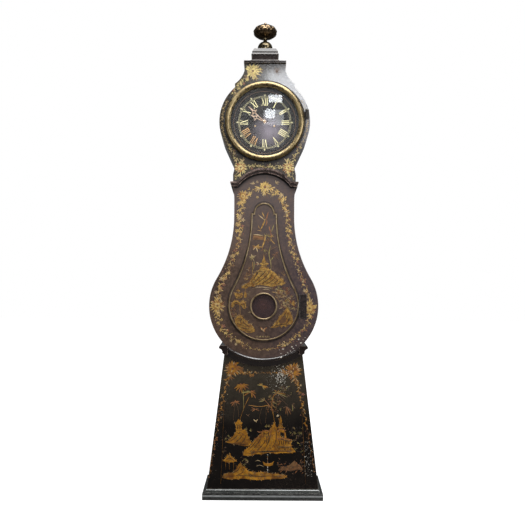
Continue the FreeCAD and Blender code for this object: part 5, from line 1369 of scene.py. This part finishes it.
def show_wear():
    """Places where the lacquer has flaked to the pale ground."""
    rng = random.Random(71)
    chips = Relief("base_chips", "case", "base_front", flake_white, "base_lacquer", 0.0004)

    def chip(px, py, size):
        middle = chips.at(px, py)
        turn = rng.uniform(0, math.tau)
        ring = []
        for i in range(6):
            a = turn + math.tau * i / 6
            far = size * rng.uniform(0.35, 1.0)
            ring.append(middle + Vector((far * math.cos(a) * rng.uniform(0.4, 1.0), far * math.sin(a))))
        chips.patch(ring, 0.0004, size * 0.12)

    # The big flake and the crumbling round it: count, middle and spread each way, sizes
    for count, x, x_spread, y, y_spread, least, most in (
            (150, 280.6, 3.4, 376.0, 5.2, 0.0010, 0.0046),
            (90, 279, 6.5, 381, 11.0, 0.0005, 0.0020),
            (170, 276, 7.5, 379, 9, 0.0004, 0.0013)):
        for i in range(count):
            chip(rng.gauss(x, x_spread), rng.gauss(y, y_spread), rng.uniform(least, most))
    # Along the crack down the middle of the board
    crack_x, crack_top, crack_long, crumbs = 267.6, 440, 40, 30
    for i in range(crumbs):
        chip(crack_x + rng.uniform(-0.35, 0.35),
             crack_top + crack_long * i / crumbs + rng.uniform(-0.5, 0.5), rng.uniform(0.0008, 0.0024))
    for py in (446, 448.2, 454.8, 464.6, 467.4, 470):
        chip(crack_x, py, 0.0042)
    # Low on the right edge, and thinly all down the left one
    for i in range(90):
        chip(rng.uniform(303.5, 312.5) + 0.04 * (i % 40), rng.uniform(440, 478),
             rng.uniform(0.0008, 0.0030))
    left_top, left_x, lean = 380, 226, 0.16
    for i in range(60):
        py = rng.uniform(left_top, 480)
        chip(left_x - (py - left_top) * lean + rng.uniform(-3, 5), py, rng.uniform(0.0004, 0.0011))
    chip(277.8, 415.9, 0.0085)
    chips.make()
    low_edge = (
        (283, 349, 0.0062), (281, 353.6, 0.0036), (281, 357.4, 0.0070), (292, 346.8, 0.0056),
        (293.4, 348.6, 0.0040), (287.6, 352.8, 0.0050), (290.4, 351, 0.0036), (301, 343, 0.0062),
        (298.6, 339.4, 0.0048), (303, 339.8, 0.0030), (279.4, 349.8, 0.0030), (285.4, 355, 0.0030),
        (296, 345.4, 0.0034), (305, 337.6, 0.0034), (276, 357.6, 0.0030))
    stick_chips("trunk_chips", ("waist_moulding_lower", "trunk_front"), low_edge, rng)


def stick_chips(name, carriers, spots, rng):
    """Flakes that lie on curved pieces, each found through its pixel. spots are (px, py, size)."""
    trees = [surface(n) for n in carriers]
    lift, back = 0.0005, 0.01
    verts, faces = [], []
    for px, py, size in spots:
        x, z = spot(px, py, 0.0)
        hits = [tree.ray_cast(EYE, Vector((x, 0, z)) - EYE) for tree in trees]
        place, normal, _, _ = min((h for h in hits if h[0]), key=lambda h: h[3])
        across = normal.cross(Vector((0, 0, 1))).normalized()
        up = across.cross(normal)
        start = len(verts)
        verts.append(place + normal * lift)
        for i in range(7):
            a = math.tau * i / 7
            far = size * rng.uniform(0.4, 1.0)
            above = place + across * far * math.cos(a) + up * far * 0.7 * math.sin(a) + normal * back
            found = [h for h in (tree.ray_cast(above, -normal, 2 * back) for tree in trees) if h[0]]
            verts.append(min(found, key=lambda h: h[3])[0] if found else place)
        faces += [(start, start + 1 + i, start + 1 + (i + 1) % 7) for i in range(7)]
    mesh = bpy.data.meshes.new(name)
    mesh.from_pydata(verts, [], faces)
    mesh.materials.append(flake_white)
    made = linked(name, mesh)
    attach(made, "case")


def tube(start, rows, sides):
    """The quads between rows of points round an axis, the first point at index start."""
    return [(start + i * sides + j, start + i * sides + (j + 1) % sides,
             start + (i + 1) * sides + (j + 1) % sides, start + (i + 1) * sides + j)
            for i in range(rows) for j in range(sides)]


def hang_line(name):
    """A twisted gut line from its drum down to its weight."""
    low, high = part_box(name)
    middle = Vector(((low.x + high.x) / 2, (low.y + high.y) / 2, 0))
    radius, pitch, per_turn, sides = (high.x - low.x) / 2, 0.008, 6, 6
    rows = int((high.z - low.z) / pitch * per_turn)
    verts, faces = [], []
    for i in range(rows + 1):
        twist = math.tau * i / per_turn / 2
        for j in range(sides):
            a = math.tau * j / sides
            r = radius * (0.86 + 0.14 * math.cos(2 * (a - twist)))
            verts.append(middle + Vector((r * math.cos(a), r * math.sin(a),
                                          low.z + (high.z - low.z) * i / rows)))
    faces += tube(0, rows, sides)
    faces.append(tuple(reversed(range(sides))))
    faces.append(tuple(rows * sides + j for j in range(sides)))
    mesh = bpy.data.meshes.new(name + "_gut")
    mesh.from_pydata(verts, [], faces)
    mesh.materials.append(gut)
    made = linked(name + "_gut", mesh)
    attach(made, "case")
    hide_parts(name)
    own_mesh(made)


def carve_finial():
    """The finial's ball with two rows of carved leaves, inside the plain turned one."""
    low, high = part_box("finial_ball")
    middle = Vector(((low.x + high.x) / 2, (low.y + high.y) / 2))
    wide, half = 0.0568, 0.0298
    foot_top, sunk, plain_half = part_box("finial_foot")[1].z, 0.001, 0.030
    centre_z = foot_top - sunk + plain_half
    rings, steps, nub_steps = 56, 120, 24
    verts, faces, deep = [], [], []
    for i in range(rings + 1):
        lat = -math.pi / 2 + math.pi * i / rings
        for j in range(steps):
            lon = math.tau * j / steps
            band = max(0.0, 1 - abs(math.degrees(lat)) / 62)
            row = 0.5 if lat > 0 else 0.0
            leaf = abs(math.sin(5 * lon + math.pi * row))
            vein = abs(math.sin(20 * lon)) * 0.25
            tip = math.sin(math.pi * min(1, abs(math.degrees(lat)) / 58))
            carve = band * (0.055 * (1 - leaf) + 0.02 * vein + 0.03 * tip * (1 - leaf))
            if abs(math.degrees(lat)) < 5:
                carve = 0.03 + 0.012 * abs(math.sin(14 * lon))
            share = 1 - carve
            verts.append((middle.x + wide * share * math.cos(lat) * math.cos(lon),
                          middle.y + wide * share * math.cos(lat) * math.sin(lon),
                          centre_z + half * share * math.sin(lat)))
            deep.append(carve)
    faces += tube(0, rings, steps)
    start = len(verts)
    profile = (
        (0.0, centre_z + half - 0.002), (0.0066, centre_z + half - 0.002), (0.0066, high.z - 0.006),
        (0.0050, high.z - 0.002), (0.0, high.z - 0.0005))
    for radius, z in profile:
        for j in range(nub_steps):
            a = math.tau * j / nub_steps
            verts.append((middle.x + radius * math.cos(a), middle.y + radius * math.sin(a), z))
            deep.append(0)
    faces += tube(start, len(profile) - 1, nub_steps)
    mesh = bpy.data.meshes.new("finial_carving")
    mesh.from_pydata(verts, [], faces)
    mesh.materials.append(carved_gilt)
    mesh.materials.append(bronze_recess_shade)
    for face in mesh.polygons:
        face.use_smooth = True
        # Faces cut deepest take the darker bronze: painted shade in the carving's recesses.
        if sum(deep[v] for v in face.vertices) / len(face.vertices) > 0.042:
            face.material_index = 1
    mesh.validate()
    made = linked("finial_carving", mesh)
    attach(made, "hood")
    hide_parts("finial_ball")


carved_gilt = gold("carved_gilt", (0.42, 0.29, 0.165), (0.085, 0.058, 0.034), scale=60.0, rough=0.22,
                   metallic=0.95, grime=0.9)
# Darker bronze for the deep cuts of the finial's carving, as painted shade.
bronze_recess_shade = gold("bronze_recess_shade", (0.040, 0.026, 0.018), (0.010, 0.008, 0.006), scale=40.0, rough=0.34,
                   metallic=0.7, grime=0.7)

paint_hood()
paint_trunk()
paint_door()
paint_base()
paint_dial()
paint_edge_shadows()
show_wear()
carve_finial()
hang_line("going_line")
hang_line("strike_line")
